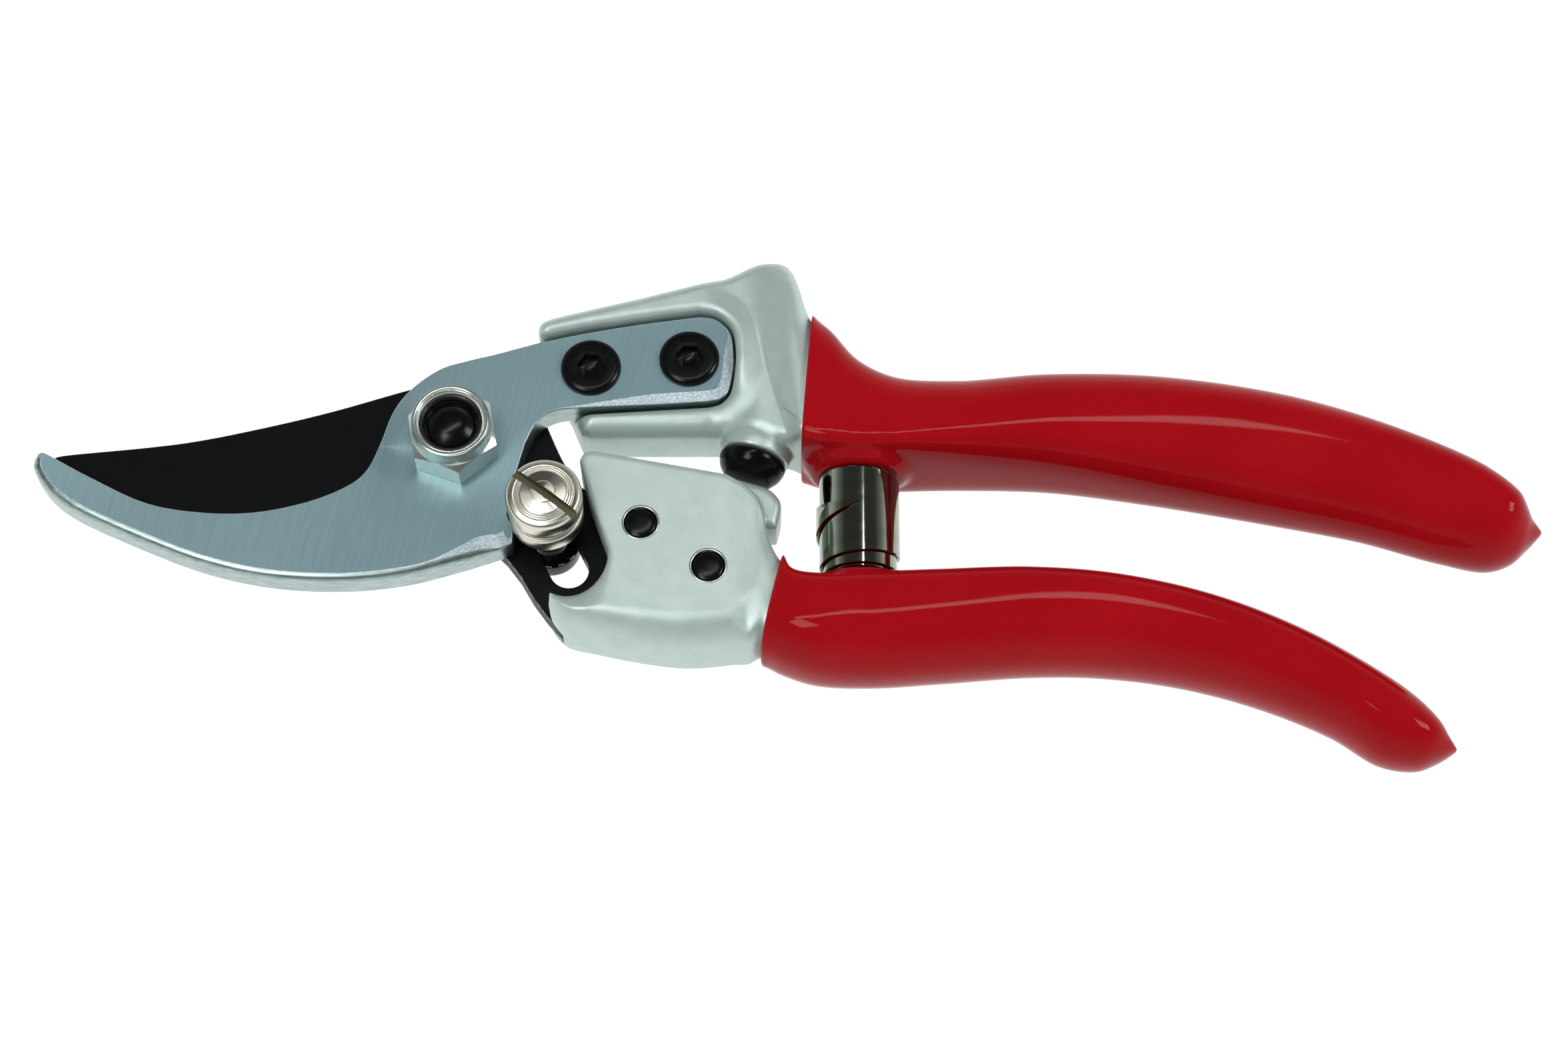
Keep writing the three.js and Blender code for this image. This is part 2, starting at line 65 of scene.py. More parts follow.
# Heights, as bottom and top, and the places that several pieces share.
MID_Z = 9.0
BLADE_Z = (6.0, 8.95)
HOOK_Z = (9.0, 13.3)
TRAY_Z = (2.6, 15.0)
CHEEK_Z = (3.0, 15.0)
RAIL_TOP = 12.3
HOOK_SCREWS = [("hook_screw_front", 18.9, 11.5), ("hook_screw_rear", 32.8, 12.9)]
RIVETS = [("rivet_front", 26.4, -13.1), ("rivet_rear", 35.8, -19.6)]
SLOT = ((13.3, -11.6), (16.3, -17.7), 2.75)  # start, end, half width
PIVOT_BORE = 4.75
SHEATH = 1.0  # the grips' wall
SPRING_X = 56.7
UPPER_SEAT, LOWER_SEAT = (-3.9, -1), (-19.8, 1)  # a seat's y, and which way it faces


# ---- Lines ----
def curve(*points, steps=8):
    """A smooth run through its points, as the CAD outline draws it, with finer steps."""
    p = np.array(points, float)
    padded = np.vstack([p[:1], p, p[-1:]])
    run = []
    for i in range(len(p) - 1):
        a, b, c, d = padded[i : i + 4]
        for t in np.arange(steps) / steps:
            run.append(
                b + 0.5 * t * (c - a + t * (2 * a - 5 * b + 4 * c - d + t * (3 * (b - c) + d - a)))
            )
    return np.array(run + [p[-1]])


def line(*points):
    return np.array(points, float)


def arc(centre, radius, start, end, steps=32):
    angles = np.radians(np.linspace(start, end, steps + 1))
    return np.array(centre) + radius * np.stack([np.cos(angles), np.sin(angles)], 1)


def outline(*runs):
    """Joins runs into one closed counterclockwise outline without doubled points."""
    points = np.vstack(runs)
    kept = [points[0]]
    for point in points[1:]:
        if np.linalg.norm(point - kept[-1]) > 1e-4:
            kept.append(point)
    if np.linalg.norm(kept[0] - kept[-1]) < 1e-4:
        kept.pop()
    kept = np.array(kept)
    following = np.roll(kept, -1, 0)
    area = (kept[:, 0] * following[:, 1] - following[:, 0] * kept[:, 1]).sum()
    return kept if area > 0 else kept[::-1]


def travelled(points):
    """How far along a run each of its points lies."""
    return np.concatenate([[0], np.cumsum(np.linalg.norm(np.diff(points, axis=0), axis=1))])


def evenly(points, count=None, spacing=None, closed=True):
    """A run in even steps: a count of them, or steps of about a spacing."""
    run = np.vstack([points, points[:1]]) if closed else points
    lengths = travelled(run)
    places = np.linspace(0, lengths[-1], (count or int(lengths[-1] / spacing)) + 1)
    places = places[:-1] if closed else places
    return np.stack([np.interp(places, lengths, column) for column in run.T], 1)


def inward_normals(points):
    along = np.roll(points, -1, 0) - np.roll(points, 1, 0)
    along /= np.linalg.norm(along, axis=1, keepdims=True)
    return np.stack([-along[:, 1], along[:, 0]], 1)


# ---- Meshes ----
def make_object(name, vertices, faces, materials, face_materials=None, smooth=True):
    """A mesh object from points in millimetres."""
    mesh = bpy.data.meshes.new(name)
    mesh.from_pydata((np.asarray(vertices, float) * MM).tolist(), [], [list(f) for f in faces])
    for material in materials:
        mesh.materials.append(material)
    if face_materials is not None:
        mesh.polygons.foreach_set("material_index", np.asarray(face_materials, np.int32))
    mesh.polygons.foreach_set("use_smooth", [smooth] * len(mesh.polygons))
    mesh.validate()
    piece = bpy.data.objects.new(name, mesh)
    bpy.context.scene.collection.objects.link(piece)
    return piece


def apply_modifiers(piece):
    bpy.context.view_layer.update()
    graph = bpy.context.evaluated_depsgraph_get()
    done = bpy.data.meshes.new_from_object(piece.evaluated_get(graph))
    piece.modifiers.clear()
    piece.data = done
    return piece


def combine(piece, other, operation, material_mode="INDEX"):
    """Joins, intersects or cuts a piece with another one, which is used up."""
    modifier = piece.modifiers.new("combine", "BOOLEAN")
    modifier.object = other
    modifier.operation = operation
    modifier.material_mode = material_mode
    modifier.solver = "EXACT"
    apply_modifiers(piece)
    bpy.data.objects.remove(other)
    return piece


def cut(piece, *cutters):
    """Subtracts cutters from a piece. A cutter that has a material lines its cut with it."""
    for cutter in cutters:
        combine(piece, cutter, "DIFFERENCE", "TRANSFER" if cutter.data.materials else "INDEX")
    return piece


def crisp(piece, angle=42):
    """Keeps cut edges sharp on a smooth piece."""
    piece.data.polygons.foreach_set("use_smooth", [True] * len(piece.data.polygons))
    piece.data.set_sharp_from_angle(angle=math.radians(angle))
    return piece


def weighted_normals(piece):
    modifier = piece.modifiers.new("weighted", "WEIGHTED_NORMAL")
    modifier.keep_sharp = True
    modifier.weight = 100
    return apply_modifiers(piece)


def turned_out(piece):
    """Makes a closed piece's faces point out."""
    mesh = bmesh.new()
    mesh.from_mesh(piece.data)
    if mesh.calc_volume(signed=True) < 0:
        bmesh.ops.reverse_faces(mesh, faces=mesh.faces)
        mesh.to_mesh(piece.data)
    mesh.free()
    return piece


def bands(count, rings, closed=False):
    """The side faces between stacked rings of count points each."""
    faces = []
    for ring in range(rings if closed else rings - 1):
        low, high = ring * count, (ring + 1) % rings * count
        for i in range(count):
            j = (i + 1) % count
            faces.append((low + i, low + j, high + j, high + i))
    return faces


def prism(name, points, bottom, top, materials=()):
    """A straight solid on an outline."""
    count = len(points)
    vertices = [(x, y, z) for z in (bottom, top) for x, y in points]
    caps = [list(range(count))[::-1], list(range(count, 2 * count))]
    return make_object(name, vertices, caps + bands(count, 2), materials, smooth=False)


def circle(radius, sides=96, centre=(0, 0), turn=0):
    angles = np.linspace(0, 2 * math.pi, sides, endpoint=False) + math.radians(turn)
    return np.array(centre) + radius * np.stack([np.cos(angles), np.sin(angles)], 1)


def drill(x, y, radius, bottom=-2, top=30):
    return prism("drill", circle(radius, centre=(x, y)), bottom, top)


def turned(name, profile, materials, sides=96, centre=(0, 0, 0), axis=(0, 0, 1)):
    """A solid of revolution. The profile is (radius, height) and runs up the outside."""
    angles = np.linspace(0, 2 * math.pi, sides, endpoint=False)
    vertices, rings = [], []
    for radius, height in profile:
        if radius < 1e-6:
            rings.append([len(vertices)] * sides)
            vertices.append((0, 0, height))
        else:
            rings.append(list(range(len(vertices), len(vertices) + sides)))
            vertices += [(radius * math.cos(a), radius * math.sin(a), height) for a in angles]
    closed = profile[0][0] > 1e-6
    pairs = list(zip(rings, rings[1:] + ([rings[0]] if closed else [])))
    faces = []
    for low, high in pairs:
        if low is high:
            continue
        for i in range(sides):
            j = (i + 1) % sides
            face = list(dict.fromkeys((low[i], low[j], high[j], high[i])))
            if len(face) > 2:
                faces.append(face)
    turn = Vector((0, 0, 1)).rotation_difference(Vector(axis).normalized()).to_matrix()
    vertices = np.array(vertices) @ np.array(turn).T + np.array(centre)
    return make_object(name, vertices, faces, materials)


def rounded(profile, radius, steps=4):
    """A turned profile with its inner corners rounded off. Points may give their own radius."""
    done = [profile[0][:2]]
    for before, here, after in zip(profile, profile[1:], profile[2:]):
        size = here[2] if len(here) > 2 else radius
        corner = np.array(here[:2], float)
        back, ahead = (np.array(p[:2], float) - corner for p in (before, after))
        reach = min(size, 0.49 * np.linalg.norm(back), 0.49 * np.linalg.norm(ahead))
        start = corner + back / np.linalg.norm(back) * reach
        end = corner + ahead / np.linalg.norm(ahead) * reach
        for t in np.linspace(0, 1, steps + 1):
            done.append(tuple((1 - t) ** 2 * start + 2 * t * (1 - t) * corner + t * t * end))
    return done + [profile[-1][:2]]


def rounded_ring(profile, radius):
    """A closed profile with its corners rounded off, all but the first."""
    return rounded([*profile, profile[0]], radius)[:-1]


# ---- Distance fields ----
def outline_distance(points, x, y):
    """Signed distance from an outline, negative inside it."""
    x, y = np.broadcast_arrays(np.asarray(x, float), np.asarray(y, float))
    px, py = x.ravel(), y.ravel()
    nearest = np.full(px.shape, np.inf)
    inside = np.zeros(px.shape, bool)
    for (ax, ay), (bx, by) in zip(points, np.roll(points, -1, 0)):
        ex, ey = bx - ax, by - ay
        t = np.clip(((px - ax) * ex + (py - ay) * ey) / (ex * ex + ey * ey), 0, 1)
        nearest = np.minimum(nearest, (px - ax - t * ex) ** 2 + (py - ay - t * ey) ** 2)
        if ay != by:
            inside ^= ((ay > py) != (by > py)) & (px < ax + (py - ay) * ex / ey)
    return np.where(inside, -1.0, 1.0).reshape(x.shape) * np.sqrt(nearest).reshape(x.shape)


def rounded_slab(flat, z, bottom, top, low_round, high_round):
    """A plate from its flat distance, with rounded rims. A radius may vary over the plate."""
    middle, half = (bottom + top) / 2, (top - bottom) / 2
    radius = np.where(z > middle, high_round, low_round)
    wide = flat + radius
    tall = np.abs(z - middle) - half + radius
    outside = np.hypot(np.maximum(wide, 0), np.maximum(tall, 0))
    return np.minimum(np.maximum(wide, tall), 0) + outside - radius


def blend_min(a, b, reach):
    """The union of two fields with a fillet about as wide as reach."""
    h = np.maximum(reach - np.abs(a - b), 0) / reach
    return np.minimum(a, b) - h * h * reach / 4


def blend_max(a, b, reach):
    return -blend_min(-a, -b, reach)


def ramp(value, start, end):
    t = np.clip((value - start) / (end - start), 0, 1)
    return t * t * (3 - 2 * t)


def mesh_field(name, field, low, high, voxel, materials):
    """A field's surface as a smooth quad mesh, with its points moved onto the exact surface."""
    axes = [np.arange(a, b + voxel, voxel) for a, b in zip(low, high)]
    x, y = np.meshgrid(axes[0], axes[1], indexing="ij")
    values = field(x[..., None], y[..., None], axes[2][None, None, :])
    grid = openvdb.FloatGrid(background=3 * voxel)
    grid.copyFromArray(np.ascontiguousarray(values, np.float32))
    points, quads = grid.convertToQuads(isovalue=0.0)
    points = np.array(low) + points.astype(float) * voxel
    step = 0.05
    least_slope = 0.2  # keeps points from jumping where the field is nearly level
    for _ in range(3):
        here = field(*points.T)
        slopes = [
            (field(*(points + step * unit).T) - field(*(points - step * unit).T)) / (2 * step)
            for unit in np.eye(3)
        ]
        gradient = np.stack(slopes, 1)
        size = np.maximum((gradient**2).sum(1), least_slope)
        points -= np.clip(gradient * (here / size)[:, None], -voxel / 2, voxel / 2)
    quads = np.asarray(quads)
    first, second, third = (points[quads[:, k]] for k in range(3))
    volume = (first * np.cross(second, third)).sum()
    return make_object(name, points, quads if volume > 0 else quads[:, ::-1], materials)


# ---- Materials ----
MIDDLE = (0.3, 0.7)  # the span that most of a noise's values lie in


class Finish:
    """A material under construction: one Principled shader and the nodes that vary it."""

    def __init__(self, name, color, roughness, metallic=0.0, **sockets):
        self.material = bpy.data.materials.new(name)
        self.material.use_nodes = True
        self.tree = self.material.node_tree
        self.shader = self.tree.nodes["Principled BSDF"]
        self.shader.inputs["Base Color"].default_value = (*color, 1)
        self.shader.inputs["Roughness"].default_value = roughness
        self.shader.inputs["Metallic"].default_value = metallic
        for socket, value in sockets.items():
            self.shader.inputs[socket.replace("_", " ")].default_value = value
        self.height = None

    def node(self, kind, inputs=None, **settings):
        made = self.tree.nodes.new("ShaderNode" + kind)
        for key, value in settings.items():
            setattr(made, key, value)
        for key, value in (inputs or {}).items():
            if isinstance(value, bpy.types.NodeSocket):
                self.tree.links.new(value, made.inputs[key])
            else:
                made.inputs[key].default_value = value
        return made

    def place(self, size, turn=0.0):
        """The point in the object, in grains of this size, turned in degrees about Z."""
        point = self.node("TexCoord").outputs["Object"]
        if turn:
            rotation = (0, 0, math.radians(-turn))
            point = self.node("Mapping", {"Vector": point, "Rotation": rotation}).outputs["Vector"]
        scale = tuple(1 / (MM * s) for s in (size if isinstance(size, tuple) else (size,) * 3))
        return self.node("Mapping", {"Vector": point, "Scale": scale}).outputs["Vector"]

    def noise(self, size, detail=2.0, turn=0.0, roughness=0.5):
        """Noise from 0 to 1 whose grains have this size in millimetres."""
        inputs = {"Vector": self.place(size, turn), "Scale": 1.0, "Detail": detail}
        inputs["Roughness"] = roughness
        return self.node("TexNoise", inputs).outputs["Fac"]

    def cells(self, size):
        """Distance from the middle of the nearest cell, in cells of this size."""
        inputs = {"Vector": self.place(size), "Scale": 1.0}
        return self.node("TexVoronoi", inputs).outputs["Distance"]

    def ranged(self, value, low, high, to_low=0.0, to_high=1.0):
        inputs = {"Value": value, "From Min": low, "From Max": high}
        inputs |= {"To Min": to_low, "To Max": to_high}
        return self.node("MapRange", inputs).outputs["Result"]

    def maths(self, operation, a, b):
        return self.node("Math", {0: a, 1: b}, operation=operation).outputs[0]

    def color(self, value, low, high, span=MIDDLE):
        """Makes the base colour run between two colours while a value runs over its span."""
        inputs = {"Factor": self.ranged(value, *span), 6: (*low, 1), 7: (*high, 1)}
        mixed = self.node("Mix", inputs, data_type="RGBA").outputs[2]
        self.tree.links.new(mixed, self.shader.inputs["Base Color"])

    def rough(self, value, low, high):
        """Makes the roughness run from low to high over the middle of a noise."""
        varied = self.ranged(value, *MIDDLE, low, high)
        self.tree.links.new(varied, self.shader.inputs["Roughness"])

    def bump(self, height, depth, strength=1.0):
        """Adds relief of a depth in millimetres, on top of any relief before it."""
        inputs = {"Height": height, "Distance": depth * MM, "Strength": strength}
        if self.height is not None:
            inputs["Normal"] = self.height
        self.height = self.node("Bump", inputs).outputs["Normal"]
        self.tree.links.new(self.height, self.shader.inputs["Normal"])


def srgb(*channels):
    """A linear colour from 8-bit display values."""
    return tuple(
        (c / 255 / 12.92) if c <= 10 else ((c / 255 + 0.055) / 1.055) ** 2.4 for c in channels
    )


def cast_alloy():
    """Blasted cast aluminium: pale, slightly green, with a fine even grain and a few pits."""
    f = Finish("cast_alloy", srgb(179, 196, 191), 0.45, 0.6)
    grain = f.noise(0.16, 3)
    f.color(f.noise(3.0, 4), srgb(175, 192, 187), srgb(184, 201, 195))
    f.rough(grain, 0.38, 0.52)
    f.bump(grain, 0.022, 0.6)
    f.bump(f.ranged(f.cells(1.7), 0.06, 0.11), 0.03, 0.5)
    return f.material


def dipped_vinyl():
    """Glossy dipped vinyl, with the slow ripple of a skin that set as it dripped."""
    f = Finish(
        "dipped_vinyl", srgb(147, 12, 20), 0.06, Specular_IOR_Level=0.07, Subsurface_Weight=0.05,
        Subsurface_Scale=0.0015, Subsurface_Radius=(1.0, 0.25, 0.2),
    )
    f.color(f.noise(14, 2), srgb(144, 11, 19), srgb(150, 13, 21))
    f.rough(f.noise(1.2, 4), 0.045, 0.075)
    f.bump(f.noise((22, 9, 9), 1), 0.05, 0.3)
    return f.material


def brushed_steel():
    """Surface-ground steel, with fine straight marks across the jaw."""
    f = Finish("brushed_steel", srgb(138, 166, 172), 0.5, 1.0, Anisotropic=0.5)
    turn = -12
    fine = f.noise((0.09, 5, 5), 3, turn)
    broad = f.noise((0.4, 12, 12), 2, turn)
    marks = f.maths("ADD", f.maths("MULTIPLY", fine, 0.6), f.maths("MULTIPLY", broad, 0.4))
    f.color(marks, srgb(133, 160, 167), srgb(143, 171, 177), (0.35, 0.65))
    f.rough(f.noise(12, 2), 0.47, 0.53)
    f.bump(fine, 0.004, 0.4)
    f.bump(broad, 0.003, 0.3)
    return f.material


def forged_rim():
    """The shallow chamfers of the hook, left bright and grainy by the forging."""
    f = Finish("forged_rim", srgb(190, 208, 216), 0.42, 0.6)
    grit = f.noise(0.22, 4, roughness=0.7)
    f.color(grit, srgb(136, 157, 167), srgb(206, 217, 220), (0.4, 0.62))
    f.bump(grit, 0.05, 0.6)
    return f.material


def rounded_edge():
    """The hook's tumbled outer edge, with faint lengthwise marks."""
    f = Finish("rounded_edge", srgb(156, 174, 172), 0.34, 1.0)
    lengthwise = f.noise((3.5, 0.5, 0.35), 3)
    f.color(lengthwise, srgb(138, 156, 154), srgb(174, 191, 188))
    f.rough(f.noise(1.0, 3), 0.3, 0.38)
    f.bump(lengthwise, 0.002, 0.3)
    return f.material


def black_blade():
    """A blade with a dark non-stick coat, smooth with a faint orange peel."""
    f = Finish("black_coat", srgb(9, 11, 12), 0.4, Specular_IOR_Level=0.08)
    f.rough(f.noise(3, 3), 0.36, 0.46)
    f.color(f.noise(0.4, 3), srgb(6, 8, 9), srgb(10, 12, 13), (0.35, 0.75))
    f.bump(f.noise(0.35, 3), 0.006, 0.5)
    return f.material


def worn_edge():
    """The edge of the blade, where the coat has gone and the steel shows."""
    f = Finish("worn_edge", srgb(120, 124, 104), 0.35, 0.9)
    f.color(f.noise(0.6, 3), srgb(84, 90, 74), srgb(146, 152, 128), (0.35, 0.65))
    f.bump(f.noise(0.2, 3), 0.02, 0.5)
    return f.material


def honed_steel():
    """The ground bevel under the cutting edge."""
    f = Finish("honed_steel", srgb(170, 178, 182), 0.22, 1.0)
    fine = f.noise((0.07, 6, 6), 3, turn=4)
    f.color(fine, srgb(150, 158, 163), srgb(190, 197, 200))
    f.bump(fine, 0.006, 0.5)
    return f.material


def black_oxide():
    """Blued fasteners: dark, a little brown in places."""
    f = Finish("black_oxide", srgb(9, 10, 11), 0.22, Specular_IOR_Level=0.17)
    f.color(f.noise(4, 2), srgb(8, 10, 10), srgb(34, 14, 12), (0.62, 0.9))
    f.rough(f.noise(1.5, 2), 0.18, 0.26)
    return f.material


def zinc_plate():
    """Bright zinc plate with faint clouds of colour."""
    f = Finish("zinc_plate", srgb(205, 214, 208), 0.18, 0.9)
    f.color(f.noise(4, 2), srgb(200, 210, 204), srgb(211, 218, 210))
    f.rough(f.noise(2, 2), 0.15, 0.2)
    return f.material


def turned_nickel():
    """Nickel on turned metal: light fans out from the axis across the turning marks."""
    f = Finish("turned_nickel", srgb(208, 206, 192), 0.26, 1.0, Anisotropic=0.8)
    f.color(f.noise(5, 1), srgb(203, 201, 187), srgb(212, 211, 198))
    tangent = f.node("Tangent", direction_type="RADIAL", axis="Z").outputs[0]
    f.tree.links.new(tangent, f.shader.inputs["Tangent"])
    return f.material


def slot_painted_shade():
    """The walls and floor of the knob's slot: a dull nickel made darker as painted shade in the
    slot.
    """
    return Finish("slot_painted_shade", srgb(92, 90, 70), 0.4, 0.9).material


def nylon():
    """Black nylon, slightly pitted."""
    f = Finish("black_nylon", srgb(13, 14, 14), 0.3, Specular_IOR_Level=0.4)
    f.rough(f.noise(0.8, 3), 0.24, 0.4)
    f.bump(f.noise(0.4, 3), 0.015, 0.5)
    return f.material


def rubber():
    """Moulded black rubber with a skin shine."""
    f = Finish("black_rubber", srgb(9, 10, 10), 0.16, Specular_IOR_Level=0.12)
    f.rough(f.noise(2, 2), 0.14, 0.2)
    return f.material


def spring_steel():
    """Dark polished spring strip."""
    f = Finish("spring_steel", srgb(142, 149, 134), 0.1, 1.0)
    f.color(f.noise((9, 1.2, 9), 2), srgb(135, 142, 127), srgb(149, 155, 141))
    f.rough(f.noise(1.5, 3), 0.06, 0.1)
    f.bump(f.noise(1.4, 2), 0.002, 0.3)
    return f.material


ALLOY = cast_alloy()
VINYL = dipped_vinyl()
STEEL = brushed_steel()
RIM = forged_rim()
EDGE_STEEL = rounded_edge()
BLACK_BLADE = black_blade()
WORN_EDGE = worn_edge()
HONED = honed_steel()
OXIDE = black_oxide()
ZINC = zinc_plate()
NICKEL = turned_nickel()
SLOT_PAINTED_SHADE = slot_painted_shade()
NYLON = nylon()
RUBBER = rubber()
SPRING_STEEL = spring_steel()


def register(piece, body, slot, *nodes):
    """Puts a finished piece on its body and hides the CAD nodes that it stands for. The slot, which
    names its finish, is not used.
    """
    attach(piece, body)
    if nodes:
        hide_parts(*nodes)
    return piece


# ---- Handle forms ----
# A handle is a row of cross-sections, each from its wall, which faces the other handle, to its
# back: wall x, wall y, back x, back y, half thickness, how far the crest lies from the wall as a
# share of the width, and how square the wall side and the back side are.
UPPER_FORM = np.array([
    [40, 0.9, 40.5, 28.8, 7.6, 0.3, 4.5, 3.4],
    [45, -0.8, 46.6, 29.8, 9.1, 0.2, 4.5, 3.4],
    [48.6, -1.4, 50.3, 20.9, 8.8, 0.14, 4.2, 3.2],
    [51.6, -2.3, 53.2, 17.9, 9, 0.15, 4, 3],
    [56, -2.8, 56.8, 13.6, 9, 0.16, 3.8, 2.7],
    [62, -2.8, 62, 11, 9, 0.18, 3.6, 2.4],
    [71, -3.1, 71, 10.5, 9, 0.29, 3.2, 2.2],
    [84, -4.05, 83.5, 11.5, 9, 0.42, 2.9, 2.2],
    [99, -6.7, 100, 11, 9, 0.53, 2.6, 2.2],
    [114, -9.8, 118, 7.8, 8.9, 0.61, 2.4, 2.2],
    [127, -12.7, 133, 2.6, 8.7, 0.64, 2.2, 2.2],
    [138, -16.1, 144.5, -3.2, 8.4, 0.66, 2.1, 2.2],
    [144.3, -17.3, 149.2, -7.1, 7.6, 0.6, 2.1, 2.1],
    [147.8, -16.5, 150.2, -8.9, 5.3, 0.55, 2.1, 2.1],
    [149.9, -14.8, 150.9, -10.3, 3, 0.5, 2.1, 2.1],
    [151.3, -13.4, 151.6, -11.2, 1.6, 0.5, 2.1, 2.1],
    [152.1, -12.5, 152.2, -11.9, 0.5, 0.5, 2.1, 2.1],
])
LOWER_FORM = np.array([
    [39, -8, 37.5, -32, 7.2, 0.45, 4.5, 3],
    [44.2, -14, 41, -32, 7.4, 0.48, 4.5, 3],
    [46.2, -16.9, 42.9, -31.2, 7.3, 0.52, 4.2, 2.6],
    [47.4, -19.4, 46, -32.5, 8.4, 0.54, 4, 2.3],
    [51, -20.3, 50.5, -34, 9, 0.53, 4, 2.2],
    [58, -20.1, 58, -34.5, 9, 0.5, 4, 2.2],
    [68, -19.6, 68, -33.9, 9, 0.475, 3.6, 2.2],
    [80, -19.2, 80, -33, 9, 0.435, 3.3, 2.2],
    [92, -20, 90, -33.1, 8.8, 0.44, 3, 2.2],
    [105, -22.8, 101, -34.6, 8.5, 0.465, 2.7, 2.2],
    [117, -27.5, 111.5, -37.6, 8.1, 0.48, 2.4, 2.2],
    [127, -33.3, 121, -41.8, 7.6, 0.49, 2.2, 2.2],
    [132.6, -37.4, 127.4, -46.1, 7.1, 0.53, 2.1, 2.1],
    [135.5, -40.7, 132.4, -47, 5.6, 0.5, 2.1, 2.1],
    [136.7, -42.7, 135.1, -46.2, 3.3, 0.5, 2.1, 2.1],
    [137.4, -43.8, 136.8, -45.3, 1.7, 0.5, 2.1, 2.1],
    [137.8, -44.3, 137.7, -44.7, 0.5, 0.5, 2.1, 2.1],
])
# Places along both forms, counted in sections from the first.
GRIP_START = 2
CORE_START = 4
NECK_END = 6
CORE_END = 12
CORE_INSET = 1.15


def through(points):
    """A centripetal Catmull-Rom curve through a list of points, as a function of place."""
    p = np.vstack([2 * points[0] - points[1], points, 2 * points[-1] - points[-2]])
    steps = np.sqrt(np.linalg.norm(np.diff(p, axis=0), axis=1))

    def at(place):
        place = np.clip(np.atleast_1d(place), 0, len(points) - 1)
        i = np.minimum(place.astype(int), len(points) - 2)
        t = (place - i)[:, None]
        a, b, c, d = p[i], p[i + 1], p[i + 2], p[i + 3]
        before, here, after = steps[i][:, None], steps[i + 1][:, None], steps[i + 2][:, None]
        rise = here * ((b - a) / before - (c - a) / (before + here)) + c - b
        fall = here * ((d - c) / after - (d - b) / (here + after)) + c - b
        return b + rise * t + (3 * (c - b) - 2 * rise - fall) * t**2 + (
            2 * (b - c) + rise + fall
        ) * t**3

    return at


def sections(form, places):
    """Walls, backs, half thicknesses, crest shares and squarenesses at places along a form."""
    walls = through(form[:, [0, 1, 4]])(places)
    backs = through(form[:, 2:4])(places)
    stations = np.arange(len(form))
    rest = [np.interp(places, stations, form[:, k]) for k in (5, 6, 7)]
    return walls[:, :2], backs, walls[:, 2], *rest


def form_field(form, x, y, z):
    """The field of a handle form up to NECK_END, made smaller by CORE_INSET."""
    walls, backs, halves, crests, wall_squares, back_squares = sections(
        form, np.linspace(0, NECK_END, 80)
    )
    across = backs - walls
    widths = np.linalg.norm(across, axis=1)
    across /= widths[:, None]
    points = np.stack([x.ravel(), y.ravel()], 1)
    from_walls = points[:, None, :] - walls
    side = across[:, 0] * from_walls[..., 1] - across[:, 1] * from_walls[..., 0]
    ahead = walls[-1] - walls[0]
    facing = np.sign(across[0, 0] * ahead[1] - across[0, 1] * ahead[0])
    row = np.clip((side * facing > 0).sum(1) - 1, 0, len(walls) - 2)
    picked = np.arange(len(row))
    before, after = side[picked, row], side[picked, row + 1]
    gap = np.where(np.abs(before - after) < 1e-9, 1e-9, before - after)
    t = np.clip(before / gap, 0, 1)

    def mixed(values):
        share = t if values.ndim == 1 else t[:, None]
        return values[row] * (1 - share) + values[row + 1] * share

    width, half, crest = mixed(widths), mixed(halves) - CORE_INSET, mixed(crests)
    depth = ((points - mixed(walls)) * mixed(across)).sum(1) - crest * width
    reach = np.maximum(np.where(depth > 0, 1 - crest, crest) * width - CORE_INSET, 0.2)
    square = np.where(depth > 0, mixed(back_squares), mixed(wall_squares))
    u, square, half, reach = (
        v.reshape(x.shape) for v in (np.abs(depth) / reach, square, half, reach)
    )
    level = (u**square + (np.abs(z - MID_Z) / half) ** square) ** (1 / square)
    return (level - 1) * np.minimum(half, reach)


def past_line(x, y, start, end):
    """How far a point lies to the right of the line from start to end."""
    dx, dy = np.subtract(end, start) / np.linalg.norm(np.subtract(end, start))
    return (x - start[0]) * dy - (y - start[1]) * dx


# ---- Flat outlines ----
HOOK_TAIL = [
    curve([11, 2.5], [12.8, 4.3], [14.7, 5.1]),
    line([16.5, 5.3], [35.3, 6.5]),
    curve(
        [37, 6.8], [38.3, 8], [39, 11], [39.1, 14], [38.6, 17.2], [36.6, 19.3], [34.2, 19.8]
    ),
    curve([25.7, 18.6], [18.1, 17.2], [12, 15.8]),
]
HOOK = outline(
    curve(
        [-58.9, -3.6], [-57.9, -5.6], [-55.4, -8.4], [-51.2, -11.1], [-42.8, -15], [-35.1, -18.1],
        [-27.6, -20.1], [-20.1, -21], [-12.7, -21], [-5.3, -20], [2, -17.9], [7, -16.2],
    ),
    curve([8.6, -15.2], [8.6, -13.2], [7.8, -11.2], [7.9, -7.9], [9, -3.8], [9.9, -0.2]),
    *HOOK_TAIL,
    curve(
        [5, 13.7], [1.2, 12.7], [-2.5, 11.4], [-6.4, 8.3], [-8.8, 4.7], [-10.4, -0.2],
        [-12.1, -4.3], [-14.8, -6.8], [-20.2, -9.2], [-27.5, -10.8], [-34.9, -10.8],
        [-42.5, -9.4], [-50.2, -5.7], [-56.6, -2.1],
    ),
    curve([-57.6, -1.6], [-58.4, -1.8], [-58.9, -2.5]),
)
POCKET = outline(line([5, 0], [11, 2.5]), *HOOK_TAIL, line([5, 13.7]))
